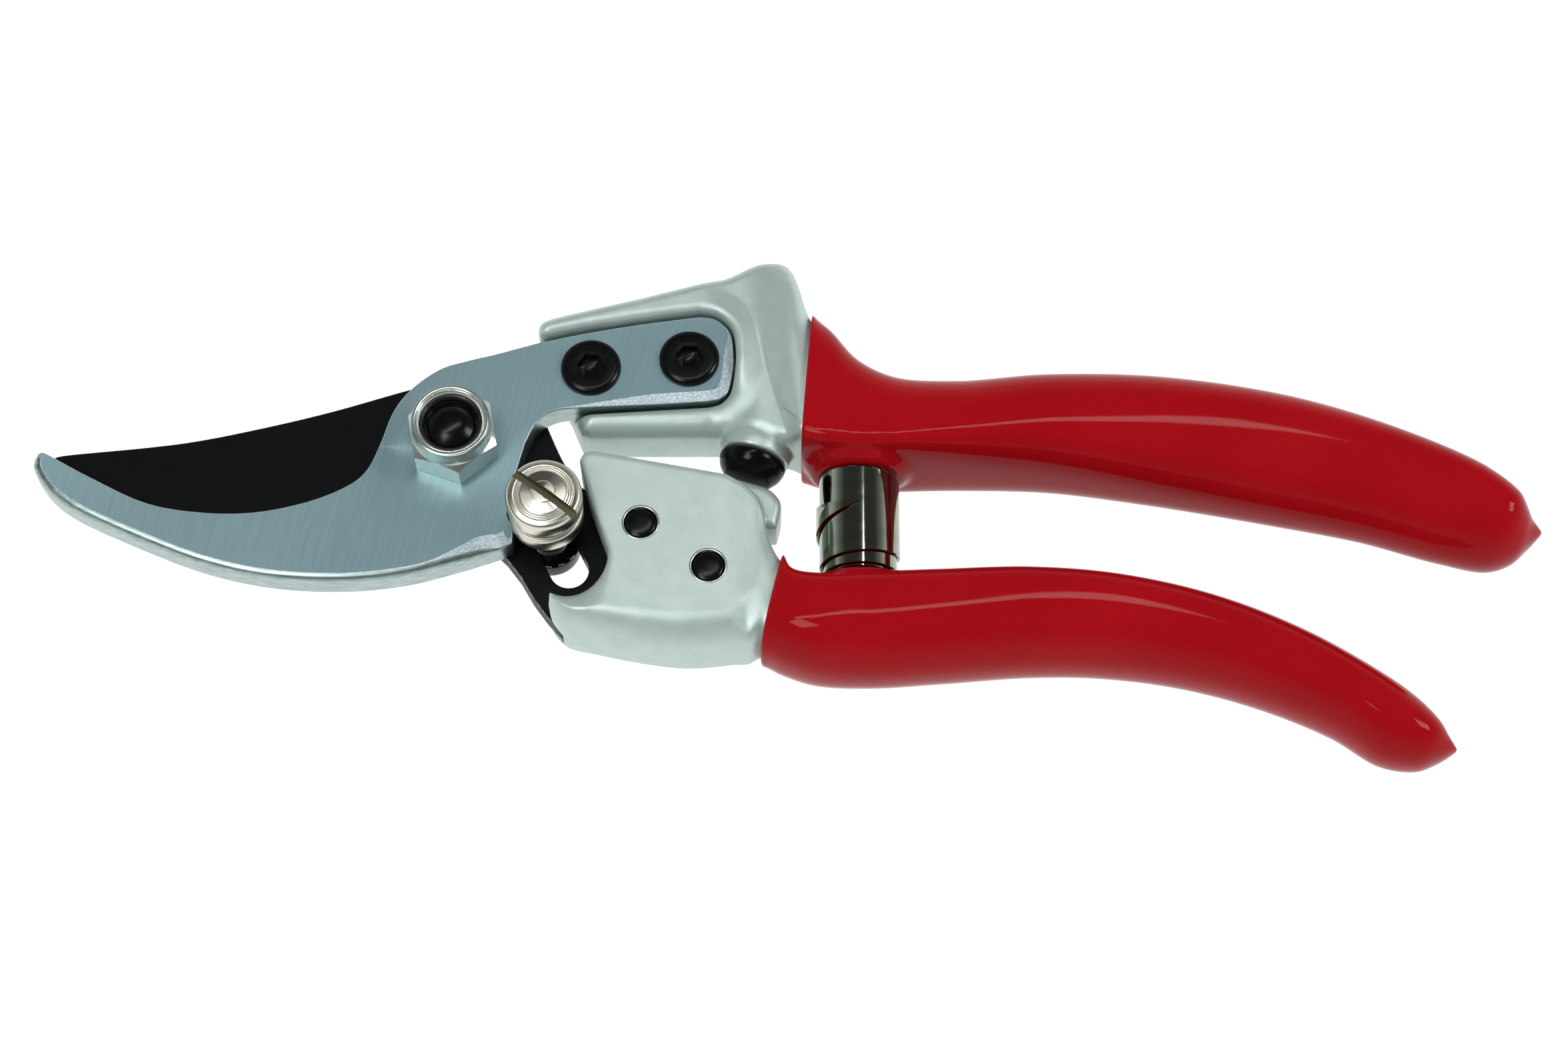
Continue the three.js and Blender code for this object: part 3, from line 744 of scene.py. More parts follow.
TANG = [
    curve(
        [12.5, 4.8], [15.1, -1.1], [18, -5.2], [24, -8.2], [32, -12.2], [38.4, -16.6],
        [39.6, -19.6], [38.4, -23], [35, -24.4], [27, -25.9], [19, -27.2], [15.6, -26.9],
        [13.4, -24.8],
    ),
    line([11.4, -22], [9.5, -18.7], [7.5, -16]),
]
BLADE_BACK = curve(
    [-57, -0.6], [-55.2, 0], [-44, 1.2], [-36.5, 2.3], [-27.2, 4.4], [-17.9, 6.9], [-6.9, 10.4],
    [-1, 11.8], [5, 11], [9.5, 8.3],
)
BLADE_EDGE = curve(
    [2.5, -11], [-3, -9], [-8, -9], [-13.5, -10.2], [-20.2, -12], [-27.5, -13.2],
    [-34.9, -13.2], [-42.5, -11.7], [-50.2, -7.8], [-55.8, -3.4],
)
BLADE = outline(BLADE_BACK, *TANG, BLADE_EDGE)
UPPER_PLAN = outline(
    curve([11.4, 15.9], [11.4, 17.8], [12.6, 18.9], [16.3, 20]),
    line([25.7, 22.4], [35, 25]),
    curve(
        [37.5, 25.8], [39.5, 26.8], [41.2, 27.9], [42.8, 28.7], [44.6, 28.9], [46.2, 28.5],
        [47.6, 27], [49, 24.4], [50.3, 20.8],
    ),
    line([54, 15], [54, -1.2]),
    curve([48.6, -0.2], [45, 0.6], [42.6, 1.6], [40.5, 2.1]),
    line([18.6, 2.1]),
    curve([17.6, 2.5], [17, 3.8]),
    line([16, 6.4]),
)
LOWER_PLAN = outline(
    curve([17.7, -3.4], [18.4, -2.2], [19.8, -1.95]),
    line([38.3, -5.5]),
    curve([40.6, -6.9], [42.3, -8.6], [43.8, -11.2], [45, -14.4], [45.6, -17]),
    line([42.3, -31]),
    curve(
        [39.2, -30.6], [32.7, -31.1], [26.2, -30.3], [20.6, -29.1], [16.4, -28], [14.4, -26],
        [13.8, -24.2],
    ),
    arc(SLOT[1], 5.6, -115, 12),
    line([19.3, -9.6]),
)
STOP_PLAN = outline(
    line([37.6, -4.1]),
    curve(
        [38.3, -4.4], [41.6, -5.4], [44.2, -6.4], [45.6, -8], [45.8, -9.6], [45.2, -12.4]
    ),
    line([38, -12]),
)


# ---- Cast handles ----
VOXEL = 0.28
POCKET_FLOOR = 8.9
# Lines across the castings: where the tray ends, and where each grip's lip lies.
TRAY_END = (46, 3), (40.3, 24)
UPPER_LIP = (50.3, 20.9), (48.6, -1.4)
LOWER_LIP = (42.9, -31.6), (46.2, -17.4)
BUFFER_SEAT, BUFFER_TIP = np.array([41.9, -0.9]), np.array([41, -4.1])
BUFFER_AXIS = (BUFFER_TIP - BUFFER_SEAT) / np.linalg.norm(BUFFER_TIP - BUFFER_SEAT)
BOSS_RADIUS, BOSS_LENGTH = 4.9, 6.5
STEM_HOLE = (2.2, 4.4)  # radius and depth


def along_buffer(x, y, z):
    """Distances from the buffer's seat: into the handle, and off the buffer's axis."""
    rx, ry = x - BUFFER_SEAT[0], y - BUFFER_SEAT[1]
    inward = -(rx * BUFFER_AXIS[0] + ry * BUFFER_AXIS[1])
    across = rx * BUFFER_AXIS[1] - ry * BUFFER_AXIS[0]
    return inward, np.sqrt(across**2 + (z - MID_Z) ** 2)


def upper_alloy_field(x, y, z):
    """The hook side's casting: a tray with a rim and a low rail, a swelling neck and a boss."""
    flat = outline_distance(UPPER_PLAN, x, y)
    from_pocket = outline_distance(POCKET, x, y)
    full = 1 - (1 - ramp(y, 7.5, 13)) * (1 - ramp(x, 35.5, 43))
    top = RAIL_TOP + (TRAY_Z[1] - RAIL_TOP) * full
    top = top - 0.9 * ramp(from_pocket, 0.8, 4.5) * ramp(x, 34, 39)
    tray = rounded_slab(flat, z, TRAY_Z[0], top, 1.5, 2.7 - 1.1 * full)

    past_tray = past_line(x, y, *TRAY_END)
    past_lip = -past_line(x, y, *UPPER_LIP)
    way = past_tray / np.maximum(past_tray - past_lip, 0.1)
    share = np.sin(np.clip(way / 0.9, 0, 1) * math.pi / 2)
    body = tray * (1 - share) + form_field(UPPER_FORM, x, y, z) * share

    inward, off = along_buffer(x, y, z)
    cone = (off - BOSS_RADIUS - 0.1 * np.maximum(inward, 0)) * 0.99
    shoulder = (off - BOSS_RADIUS + 0.85 * (inward - 2.3)) * 0.76
    side = blend_max(cone, shoulder, 0.6)
    boss = rounded_slab(side, inward, 0.25, BOSS_LENGTH, 0.25, 0.25)
    pocket = rounded_slab(from_pocket - 0.3, z, POCKET_FLOOR, 40, 0.3, 0.3)
    body = blend_max(blend_min(body, boss, 1.0), -pocket, 1.2)
    stem = np.maximum(off - STEM_HOLE[0], inward - STEM_HOLE[1])
    return np.maximum(np.maximum(body, -stem), x - 56)


def lower_alloy_field(x, y, z):
    """The blade side's casting: a thick cheek with a slot for the tang, and a stop pad."""
    flat = outline_distance(LOWER_PLAN, x, y)
    soft = ramp(-y, 19, 30)
    cheek = rounded_slab(flat, z, *CHEEK_Z, 1.0 + 2.0 * soft, 0.8 + 5.1 * soft)
    share = ramp(past_line(x, y, *LOWER_LIP), -5.5, -0.4)
    body = cheek * (1 - share) + form_field(LOWER_FORM, x, y, z) * share
    stop = rounded_slab(outline_distance(STOP_PLAN, x, y), z, 4.5, 12, 1.2, 1.2)
    slot = outline_distance(outline(*TANG), x, y) - 0.25
    gap = rounded_slab(slot, z, BLADE_Z[0] - 0.15, BLADE_Z[1] + 0.15, 0.3, 0.3)
    body = blend_max(blend_min(body, stop, 0.5), -gap, 0.4)
    return np.maximum(body, x - 54)


def alloy(name, field, low, high, holes, body, node):
    """A casting, drilled for its fasteners."""
    piece = cut(mesh_field(name, field, low, high, VOXEL, [ALLOY]), *holes)
    return register(crisp(piece), body, "alloy", node)


def castings():
    low, high = (10, -4, 0.5), (57, 30.5, 18)
    holes = [drill(x, y, 2.55, 0, HOOK_Z[0]) for _, x, y in HOOK_SCREWS]
    alloy("upper_alloy", upper_alloy_field, low, high, holes, HOOK_SIDE, "upper_handle")
    low, high = (12, -37, 0.5), (55, -1, 17.5)
    holes = [drill(x, y, 2.62) for _, x, y in RIVETS]
    alloy("lower_alloy", lower_alloy_field, low, high, holes, BLADE_SIDE, "lower_handle")


# ---- Grips ----
def section_ring(wall, back, half, crest, wall_square, back_square, inset, count):
    """One cross-section of a form, made smaller by an inset, as a ring of even steps."""
    across = back - wall
    width = np.linalg.norm(across)
    across = across / width
    angles = np.linspace(0, 2 * math.pi, 4 * count, endpoint=False)
    c, s = np.cos(angles), np.sin(angles)
    square = np.where(c > 0, back_square, wall_square)
    reach = np.maximum(np.where(c > 0, 1 - crest, crest) * width - inset, 0.05)
    off = reach * np.sign(c) * np.abs(c) ** (2 / square)
    points = wall + across * (crest * width + off)[:, None]
    z = MID_Z + (half - inset) * np.sign(s) * np.abs(s) ** (2 / square)
    return evenly(np.column_stack([points, z]), count)


def form_rings(form, places, insets, count):
    return [section_ring(*parts, count) for parts in zip(*sections(form, places), insets)]


def skin(name, rings, materials):
    """Joins rings in order and closes both ends with a fan."""
    count = len(rings[0])
    points = np.vstack(rings + [rings[0].mean(0)[None], rings[-1].mean(0)[None]])
    base = (len(rings) - 1) * count
    start, end = len(points) - 2, len(points) - 1
    faces = bands(count, len(rings))
    for side in range(count):
        other = (side + 1) % count
        faces += [(start, other, side), (end, base + side, base + other)]
    return turned_out(make_object(name, points, faces, materials))


def grip(name, form, seat, body):
    """A dipped grip: a lip, a hollow for the alloy and a seat for the spring."""
    seat_y, towards = seat
    count = 120
    step = 0.4
    fine = np.linspace(GRIP_START, len(form) - 1, 2000)
    run = travelled(sum(sections(form, fine)[:2]) / 2)
    lip = SHEATH / 2
    turn = np.radians(np.linspace(180, 0, 9))[1:-1]
    hollow = np.linspace(14, lip, 12)
    end = run[-1] - 0.4
    outside = np.concatenate([np.arange(lip, end, step), end + np.array([0.1, 0.2, 0.3, 0.4])])
    lengths = np.concatenate([hollow, lip - lip * np.sin(turn), outside])
    insets = [np.full(len(hollow), SHEATH), lip - lip * np.cos(turn), np.zeros(len(outside))]
    rings = form_rings(form, np.interp(lengths, run, fine), np.concatenate(insets), count)
    for ring in rings[-len(outside):]:
        spread = np.hypot(ring[:, 0] - SPRING_X, ring[:, 2] - MID_Z)
        on_wall = (ring[:, 1] - seat_y) * towards > -2.5
        rise = (1 - ramp(spread, 5.8, 8.2)) * on_wall
        ring[:, 1] += (seat_y - ring[:, 1]) * rise
    return register(skin(name + "_skin", rings, [VINYL]), body, "red_vinyl", name)


def handle_core(name, form, body):
    """The casting's own length inside the grip, down to where the vinyl goes on alone."""
    places = np.linspace(CORE_START, CORE_END, 60)
    insets = np.full(len(places), CORE_INSET + 0.1)
    return register(skin(name, form_rings(form, places, insets, 48), [ALLOY]), body, "alloy")


# ---- Plates ----
EDGE = 0.14  # the small broken edge round every plate
PLATE_STEP = 0.3
SHELF_SLOPE = 0.32
RIM_TURNS = (0, 15, 30, 45, 60, 75, 86)
GROUND = 6.0  # how wide the blade is ground along its edge


def banded_plate(name, points, loops, kinds, materials):
    """A plate from loops of inset and height, bottom first, and the material of each band between
    them. Its two flat faces have the first material."""
    count = len(points)
    inward = inward_normals(points)
    vertices = []
    for inset, height in loops:
        inset, height = np.broadcast_to(inset, count), np.broadcast_to(height, count)
        vertices.append(np.column_stack([points + inward * inset[:, None], height]))
    top = (len(loops) - 1) * count
    faces = [list(range(count))[::-1], *bands(count, len(loops)), list(range(top, top + count))]
    kinds = np.concatenate([[0], *(np.broadcast_to(kind, count) for kind in kinds), [0]])
    return make_object(name, np.vstack(vertices), faces, materials, kinds)


def hook_plate():
    """The counter-blade, with a rounded rim along its jaw and a rough shelf, which is a shallow
    chamfer inside the rim, at hub and tail."""
    bottom, top = HOOK_Z
    points = evenly(HOOK, spacing=PLATE_STEP)
    x, y = points.T
    faces_down = np.maximum(inward_normals(points)[:, 1] > 0.1, x < -58)
    jaw = (1 - ramp(x, 4, 8.2)) * ramp(-y, 1.2, 2.4) * faces_down
    hub = ramp(x, -4, 8) * (y < -12) * (1 - ramp(x, 8.45, 8.65)) * faces_down
    tail = (x > 13) * (y < 19) * ramp(x, 13, 30) * (1 - ramp(y, 12.5, 19))
    rim = EDGE + 0.95 * jaw
    shelf = np.maximum(1.9 * hub + 1.35 * tail, 0.02)
    fall = shelf * SHELF_SLOPE
    loops = [(EDGE, bottom), (0.3 * EDGE, bottom + 0.3 * EDGE), (0, bottom + EDGE)]
    for turn in np.radians(RIM_TURNS):
        loops.append((rim * (1 - math.cos(turn)), top - fall - rim * (1 - math.sin(turn))))
    loops += [(rim + 0.85 * shelf, top - 0.15 * fall), (rim + shelf + 0.02, top)]
    kinds = [2] * (len(loops) - 3) + [1, 1]
    body = banded_plate("hook_plate", points, loops, kinds, [STEEL, RIM, EDGE_STEEL])
    cut(body, drill(0, 0, PIVOT_BORE), *[drill(x, y, 2.6) for _, x, y in HOOK_SCREWS])
    weighted_normals(crisp(body, 50))
    return register(body, HOOK_SIDE, "brushed_steel", "hook_blade")


def blade_plate():
    """The cutting blade: flat on the hook's side, ground to an edge underneath."""
    bottom, top = BLADE_Z
    points = evenly(BLADE, spacing=PLATE_STEP)
    x = points[:, 0]
    edge = evenly(BLADE_EDGE, spacing=PLATE_STEP, closed=False)
    from_edge = np.linalg.norm(points[:, None, :] - edge[None, :, :], axis=2).min(1)
    ground = GROUND * ramp(x, 2, -4) * ramp(x, -57, -48) * (from_edge < 0.4)
    share = np.clip(ground / 2.0, 0, 1)
    rise = (top - bottom - 0.25) * share
    loops = [
        (np.maximum(ground, EDGE), bottom),
        (0.02 * share, bottom + np.maximum(rise, EDGE)),
        (0, top - EDGE),
        (0.04, top - 0.04),
        (EDGE, top),
    ]
    kinds = [share > 0.02, 0, 2, 2]
    body = banded_plate("blade_plate", points, loops, kinds, [BLACK_BLADE, HONED, WORN_EDGE])
    slot = prism("slot", slot_outline(*SLOT), bottom - 1, top + 1)
    cut(body, slot, drill(0, 0, PIVOT_BORE), *[drill(x, y, 2.45) for _, x, y in RIVETS])
    weighted_normals(crisp(body, 50))
    return register(body, BLADE_SIDE, "black_coat", "cutting_blade")


def slot_outline(start, end, radius):
    heading = math.degrees(math.atan2(end[1] - start[1], end[0] - start[0]))
    return outline(
        arc(end, radius, heading - 90, heading + 90),
        arc(start, radius, heading + 90, heading + 270),
    )


# ---- Hardware ----
ACROSS_FLATS = 11.5
HEX_TURN = -20
NUT_Z = (13.35, 17.7)
BOLT_HEAD_Z = (0, 4.8)
THREAD_PITCH = 1.25
SOCKET_ACROSS, SOCKET_TURN = 3.4, -6
KNOB_SLOT_HALF, KNOB_SLOT_TURN = 0.6, -36.5


def turned_piece(name, profile, material, body, slot, *nodes, **turning):
    """A solid of revolution that is a whole piece."""
    return register(turned(name, profile, [material], **turning), body, slot, *nodes)


def hexagon(across_flats, turn=0):
    return circle(across_flats / 2 / math.cos(math.pi / 6), 6, turn=turn)


def hex_bar(name, back, face, material):
    """A hexagonal bar from its back to its face, where its corners are turned off conically."""
    up = 1 if face > back else -1
    flat = ACROSS_FLATS / 2
    corner = flat / math.cos(math.pi / 6)
    drop = (corner - flat) * 0.75
    limit = [
        (0, back - up), (corner + 0.5, back - up), (corner + 0.05, face - up * drop),
        (flat - 0.15, face + up * 0.001), (0, face + up * 0.001),
    ]
    body = prism(name, hexagon(ACROSS_FLATS, HEX_TURN), *sorted((back, face)), [material])
    return combine(body, turned("limit", limit[::up], [material], 128), "INTERSECT")


def pivot_nut():
    """A locking nut: a hexagon with turned-off corners under a collar rolled over its nylon."""
    body = hex_bar("pivot_nut_steel", *NUT_Z, ZINC)
    collar = rounded(
        [
            (3.8, 13.4), (5.2, 13.4), (5.2, 17.0), (5.74, 17.3), (5.55, 18.6, 0.6),
            (5.45, 20.4, 0.55), (4.9, 20.36, 0.15), (4.82, 20.15, 0.06), (4.7, 20.2, 0.08),
            (4.32, 19.85, 0.15), (4.3, 18.0), (3.8, 18.0),
        ],
        0.15,
    )
    combine(body, turned("collar", collar, [ZINC], 128), "UNION")
    cut(body, drill(0, 0, 3.8, 12, 18.05))
    return register(crisp(body, 28), HOOK_SIDE, "zinc_plate", "pivot_nut")


def nut_insert():
    profile = rounded_ring(
        [(3.62, 17.8), (4.32, 17.8), (4.32, 19.72, 0.1), (3.95, 19.66, 0.2), (3.62, 19.1, 0.2)],
        0.1,
    )
    return turned_piece("nut_insert_nylon", profile, NYLON, HOOK_SIDE, "black_nylon", "nut_insert")


def pivot_bolt():
    """The bolt: a dished head, a shank, rings for its thread and a rounded end."""
    head = hex_bar("pivot_bolt_steel", *BOLT_HEAD_Z[::-1], OXIDE)
    shank = [(0, 4.0), (3.5, 4.0), (3.5, 13.2)]
    for z in np.arange(13.2, 18.4, THREAD_PITCH):
        next_z = z + THREAD_PITCH
        shank += [(3.5, z + 0.2), (3.12, z + THREAD_PITCH / 2), (3.5, next_z - 0.2)]
    shank += [(3.5, 18.75), (2.4, 19.5), (1.5, 19.82), (0, 19.9)]
    combine(head, turned("shank", shank, [OXIDE], 96), "UNION")
    cut(head, turned("dish", [(0, -1), (2.6, -1), (2.1, 0.25), (0, 0.3)], [], 64))
    return register(crisp(head, 28), HOOK_SIDE, "black_oxide", "pivot_bolt")


def pivot_washer():
    profile = rounded_ring([(3.8, 4.85), (7.0, 4.85, 0.2), (7.0, 5.9, 0.2), (3.8, 5.9, 0.1)], 0.15)
    name = "pivot_washer_zinc"
    return turned_piece(name, profile, ZINC, HOOK_SIDE, "zinc_plate", "pivot_washer", sides=128)


def pivot_bush():
    profile = [(3.65, 5.95), (4.6, 5.95), (4.6, 13.3), (3.65, 13.3)]
    return turned_piece("pivot_bush_steel", profile, NICKEL, HOOK_SIDE, "nickel", "pivot_bush")


def hook_screw(node, x, y):
    """A low round-headed cap screw with a hexagonal socket."""
    profile = rounded(
        [
            (0, 3.0), (2.1, 3.0), (2.4, 3.3), (2.4, 13.3), (4.1, 13.3, 0.05), (4.25, 13.45, 0.1),
            (4.25, 13.9, 0.3), (3.7, 14.3, 0.5), (2.3, 14.3, 0.1), (0, 14.2),
        ],
        0.1,
        3,
    )
    body = turned(node + "_oxide", profile, [OXIDE], 96)
    socket = prism("socket", hexagon(SOCKET_ACROSS, SOCKET_TURN), 13.1, 16)
    point = turned("drill_point", [(0, 12.7), (1.2, 13.3), (1.2, 13.5), (0, 13.5)], [], 48)
    cut(body, socket, point)
    body.data.transform(Matrix.Translation((x * MM, y * MM, 0)))
    return register(crisp(body, 30), HOOK_SIDE, "black_oxide", node)


def rivet(node, x, y):
    """A rivet with two domed heads, and a bright ring round the one on top."""
    turning = {"sides": 64, "centre": (x, y, 0)}
    dome = [(2.3, 14.3), (2.24, 14.55), (2.0, 14.74), (1.5, 14.86), (0.8, 14.9), (0, 14.9)]
    profile = [(r, 2.8 + (14.9 - z)) for r, z in reversed(dome)] + dome
    body = turned(node + "_oxide", profile, [OXIDE], **turning)
    rim = rounded_ring([(2.33, 14.2), (2.58, 14.2), (2.58, 14.98, 0.1), (2.33, 14.98, 0.1)], 0.1)
    turned_piece(node + "_rim", rim, ZINC, BLADE_SIDE, "zinc_plate", **turning)
    return register(body, BLADE_SIDE, "black_oxide", node)


def catch_knob():
    """The catch's thumb knob: a slotted, domed head over a groove and a collar."""
    profile = rounded(
        [
            (0, 2.4), (2.1, 2.4), (2.4, 2.7), (2.4, 13.4), (4.9, 13.4, 0.1), (5.2, 13.7, 0.2),
            (5.2, 16.1, 0.2), (5.0, 16.4, 0.1), (4.6, 16.45, 0.1), (4.6, 18.1, 0.1),
            (5.0, 18.2, 0.1), (5.3, 18.5, 0.2), (5.3, 20.9, 0.25), (5.0, 21.35, 0.2),
            (4.25, 21.62, 0.1), (4.05, 21.58, 0.05), (3.9, 21.68, 0.08), (3.75, 21.62, 0.05),
            (3.6, 21.72, 0.08), (3.4, 21.66, 0.05), (3.2, 21.78, 0.1), (1.65, 21.96, 0.1),
            (1.55, 22.05, 0.06), (0, 22.08),
        ],
        0.12,
        3,
    )
    body = turned("catch_knob_nickel", profile, [NICKEL], 160)
    half = KNOB_SLOT_HALF
    sides = line([-7, -half], [7, -half], [7, half], [-7, half])
    # The cutter lines the slot's walls and floor with a darker nickel, which is painted shade in
    # the slot.
    slot = prism("slot", sides, 20.6, 24, [SLOT_PAINTED_SHADE])
    slot.data.transform(Matrix.Rotation(math.radians(KNOB_SLOT_TURN), 4, "Z"))
    cut(body, slot)
    body.data.transform(Matrix.Translation((SLOT[0][0] * MM, SLOT[0][1] * MM, 0)))
    return register(crisp(body, 28), CATCH_SIDE, "nickel", "catch_knob")


def catch_ring(name, profile, node):
    """A ring on the knob's neck."""
    profile, centre = rounded_ring(profile, 0.1), (*SLOT[0], 0)
    return turned_piece(name, profile, OXIDE, CATCH_SIDE, "black_oxide", node, centre=centre)


def catch_rings():
    """The sleeve that bears on the hook, and the round nut under the tang."""
    sleeve = [(2.55, 9.0), (3.0, 9.0), (3.0, 13.35), (2.55, 13.35)]
    catch_ring("catch_sleeve_nickel", sleeve, "catch_sleeve")
    nut = [(2.55, 2.2), (4.2, 2.2, 0.4), (4.2, 5.15, 0.2), (2.55, 5.15)]
    catch_ring("catch_nut_oxide", nut, "catch_nut")


def catch_washer():
    """A toothed lock washer, each tooth twisted up on one side and down on the other."""
    teeth, steps = 14, 6
    inner, root, tip = 2.55, 3.4, 4.2
    bottom, top, twist = 5.3, 5.8, 0.12
    vertices = []
    for k in range(teeth * steps):
        angle = 2 * math.pi * k / (teeth * steps)
        phase = (k % steps) / steps
        out = tip if 0.1 < phase < 0.75 else root
        lift = twist * math.sin(2 * math.pi * phase)
        for radius, z in ((inner, bottom), (out, bottom + lift), (out, top + lift), (inner, top)):
            x, y = radius * math.cos(angle), radius * math.sin(angle)
            vertices.append((x + SLOT[0][0], y + SLOT[0][1], z))
    faces = bands(4, teeth * steps, closed=True)
    body = turned_out(make_object("catch_washer_steel", vertices, faces, [OXIDE], smooth=False))
    return register(body, CATCH_SIDE, "black_oxide", "catch_washer")


def stop_buffer():
    """The rubber stop, domed towards the pad that it meets."""
    profile = rounded(
        [
            (0, -4.0), (2.0, -4.0), (2.0, 0.0), (4.5, 0.0, 0.1), (4.78, 0.25, 0.2),
            (4.75, 0.9, 0.3), (4.35, 2.0, 0.8), (3.3, 3.2, 0.35), (0, 3.32),
        ],
        0.2,
        5,
    )
    turning = {"centre": (*BUFFER_SEAT, MID_Z), "axis": (*BUFFER_AXIS, 0)}
    name, slot = "stop_buffer_rubber", "black_rubber"
    return turned_piece(name, profile, RUBBER, HOOK_SIDE, slot, "stop_buffer", **turning)


def spring_stud(name, seat, body):
    """The dipped stud that centres the spring."""
    seat_y, towards = seat
    profile = rounded([(0, -1.0), (2.7, -1.0), (2.6, 0.4, 0.3), (2.15, 3.0, 0.8), (0, 3.0)], 0.3, 5)
    turning = {"sides": 48, "centre": (SPRING_X, seat_y, MID_Z), "axis": (0, towards, 0)}
    return turned_piece(name, profile, VINYL, body, "red_vinyl", **turning)


def volute_spring():
    """A strip wound inwards from its pointed outer end, which lies on top. Weights that would share
    its points between the two grips are worked out but not used. The turns are too close together
    to bend freely, so they would cross each other when the pruner is wide open."""
    turns, strip, gap_per_turn, outer = 6.2, 0.4, 0.45, 6.1
    step = 4
    angles = np.arange(0, turns * 360 + 1, step)
    across = np.linspace(1, -1, 12)
    vertices, weights = [], []
    for a in angles:
        top = -3.97 - 5.7 * math.exp(-((a / 200) ** 1.8))
        bottom = -19.1 + 9.2 * math.exp(-a / 240)
        tip = min(1.0, a / 14)
        middle, half = (top + bottom) / 2, (top - bottom) / 2 * (0.35 + 0.65 * tip)
        radius = outer - gap_per_turn * a / 360
        loose = min(1.0, 0.18 + 0.82 * max(0.0, a - 180) / (turns * 360 - 180))
        turn = math.radians(a)
        loop = [(radius, v, 0) for v in across] + [(radius - strip / 2, -1, -0.06)]
        loop += [(radius - strip, v, 0) for v in across[::-1]] + [(radius - strip / 2, 1, 0.06)]
        for r, v, extra in loop:
            inset = 0.05 if abs(v) == 1 and extra == 0 else 0
            y = middle + v * (half - inset) + extra
            vertices.append((SPRING_X - r * math.sin(turn), y, MID_Z + r * math.cos(turn)))
            weights.append(0.5 - 0.5 * v * loose)
    size = len(loop)
    last = (len(angles) - 1) * size
    faces = bands(size, len(angles)) + [list(range(size)), list(range(last, last + size))[::-1]]
    body = turned_out(make_object("volute_spring_strip", vertices, faces, [SPRING_STEEL]))
    crisp(body, 50)
    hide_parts("volute_spring")
    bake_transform(body)
    return body


# ---- Stage ----
# The world's brightness against the height of a direction, from the horizon to straight up.
WORLD_LEVELS = ((0.0, 0.85), (0.2, 0.8), (0.42, 0.32), (0.65, 0.08), (1.0, 0.06))
FLOOR_HALF, FLOOR_Z = 3000, -0.1
FLOOR_GLOW = 1.08
# Name, place and size in metres, power in watts, and whether reflections show the light.
LIGHTS = [
    ("overhead_fill", (0.05, -0.1, 1.2), (1.6, 1.6), 7.0, False),
    ("strip", (-0.08, 0.17, 1.05), (0.9, 0.09), 2.6, True),
    ("left_window", (-0.37, -0.33, 0.99), (0.34, 0.4), 4.0, True),
    ("right_window", (0.9, 0.03, 0.81), (0.34, 0.34), 4.4, True),
]
LIGHTS_MEET = (0.046, -0.01, 0.01)
CAMERA_PLACE, CAMERA_TILT, CAMERA_LENS = (0.04623, -0.2057, 0.4475), 24, 78.61


def grey(level):
    return (level, level, level, 1)


def world():
    """A pale horizon under a dark sky, for reflections."""
    studio = bpy.data.worlds.new("studio")
    bpy.context.scene.world = studio
    studio.use_nodes = True
    nodes, links = studio.node_tree.nodes, studio.node_tree.links
    direction = nodes.new("ShaderNodeTexCoord").outputs["Generated"]
    parts = nodes.new("ShaderNodeSeparateXYZ")
    levels = nodes.new("ShaderNodeValToRGB")
    stops = levels.color_ramp.elements
    for end in (0, -1):
        stops[end].position, stops[end].color = WORLD_LEVELS[end][0], grey(WORLD_LEVELS[end][1])
    for position, level in WORLD_LEVELS[1:-1]:
        stops.new(position).color = grey(level)
    links.new(direction, parts.inputs[0])
    links.new(parts.outputs["Z"], levels.inputs[0])
    links.new(levels.outputs[0], nodes["Background"].inputs["Color"])
    nodes["Background"].inputs["Strength"].default_value = 1.0


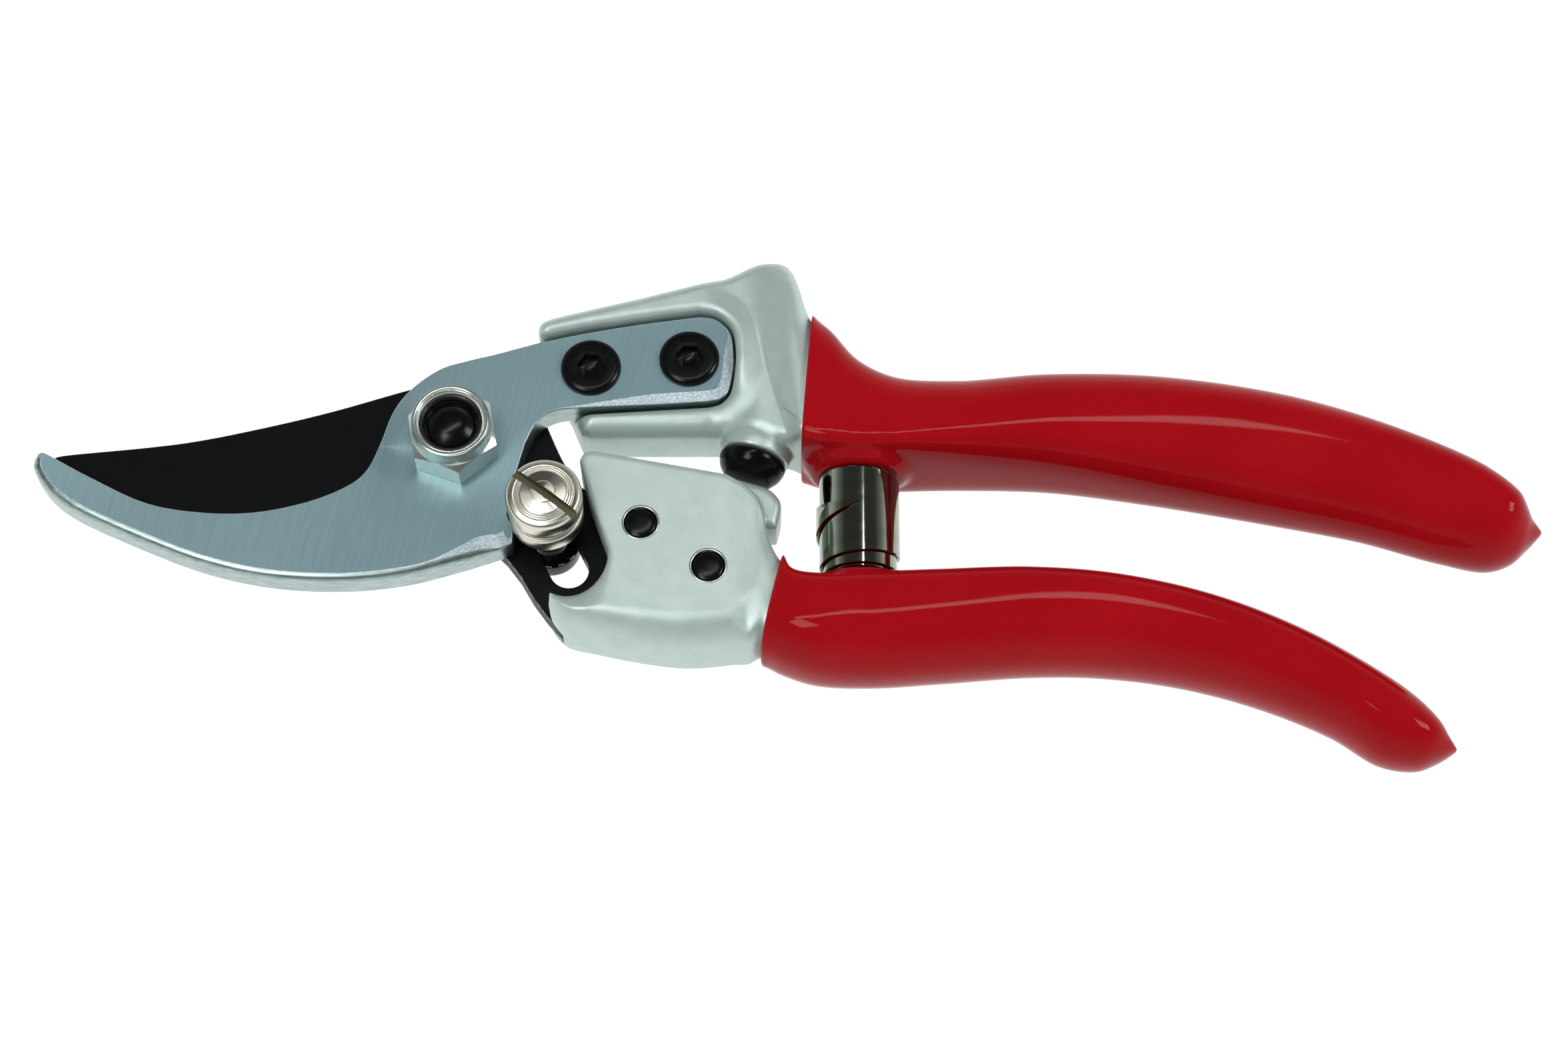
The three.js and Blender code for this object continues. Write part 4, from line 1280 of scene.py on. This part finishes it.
def lay_floor():
    """A sheet of paper that glows, so that it stays white to its edges."""
    paper = Finish("paper", (0.12, 0.12, 0.12), 0.8, Specular_IOR_Level=0.0)
    paper.shader.inputs["Emission Color"].default_value = (1, 1, 1, 1)
    paper.shader.inputs["Emission Strength"].default_value = FLOOR_GLOW
    corners = [(-1, -1), (1, -1), (1, 1), (-1, 1)]
    vertices = [(x * FLOOR_HALF, y * FLOOR_HALF, FLOOR_Z) for x, y in corners]
    floor = make_object("floor", vertices, [(0, 1, 2, 3)], [paper.material], smooth=False)


def area_light(name, place, size, power, glossy):
    light = bpy.data.lights.new(name, "AREA")
    light.shape = "RECTANGLE"
    light.size, light.size_y = size
    light.energy = power
    holder = bpy.data.objects.new(name, light)
    bpy.context.scene.collection.objects.link(holder)
    holder.location = place
    towards = Vector(LIGHTS_MEET) - Vector(place)
    holder.rotation_euler = towards.to_track_quat("-Z", "Y").to_euler()
    holder.visible_glossy = glossy


def camera():
    lens = bpy.data.cameras.new("camera")
    lens.lens = CAMERA_LENS
    lens.sensor_width = 36
    lens.clip_start = 0.01
    holder = bpy.data.objects.new("camera", lens)
    holder.location = CAMERA_PLACE
    holder.rotation_euler = (math.radians(CAMERA_TILT), 0, 0)
    bpy.context.scene.collection.objects.link(holder)
    bpy.context.scene.camera = holder


# ---- The pruner ----
bpy.context.scene.view_settings.view_transform = "Standard"
world()
lay_floor()
for light in LIGHTS:
    area_light(*light)
camera()

castings()
handle_core("upper_core", UPPER_FORM, HOOK_SIDE)
handle_core("lower_core", LOWER_FORM, BLADE_SIDE)
grip("upper_grip", UPPER_FORM, UPPER_SEAT, HOOK_SIDE)
grip("lower_grip", LOWER_FORM, LOWER_SEAT, BLADE_SIDE)
hook_plate()
blade_plate()
for node, x, y in HOOK_SCREWS:
    hook_screw(node, x, y)
for node, x, y in RIVETS:
    rivet(node, x, y)
pivot_bolt()
pivot_washer()
pivot_bush()
pivot_nut()
nut_insert()
catch_knob()
catch_rings()
catch_washer()
stop_buffer()
spring_stud("upper_spring_stud", UPPER_SEAT, HOOK_SIDE)
spring_stud("lower_spring_stud", LOWER_SEAT, BLADE_SIDE)
volute_spring()

bpy.context.view_layer.update()
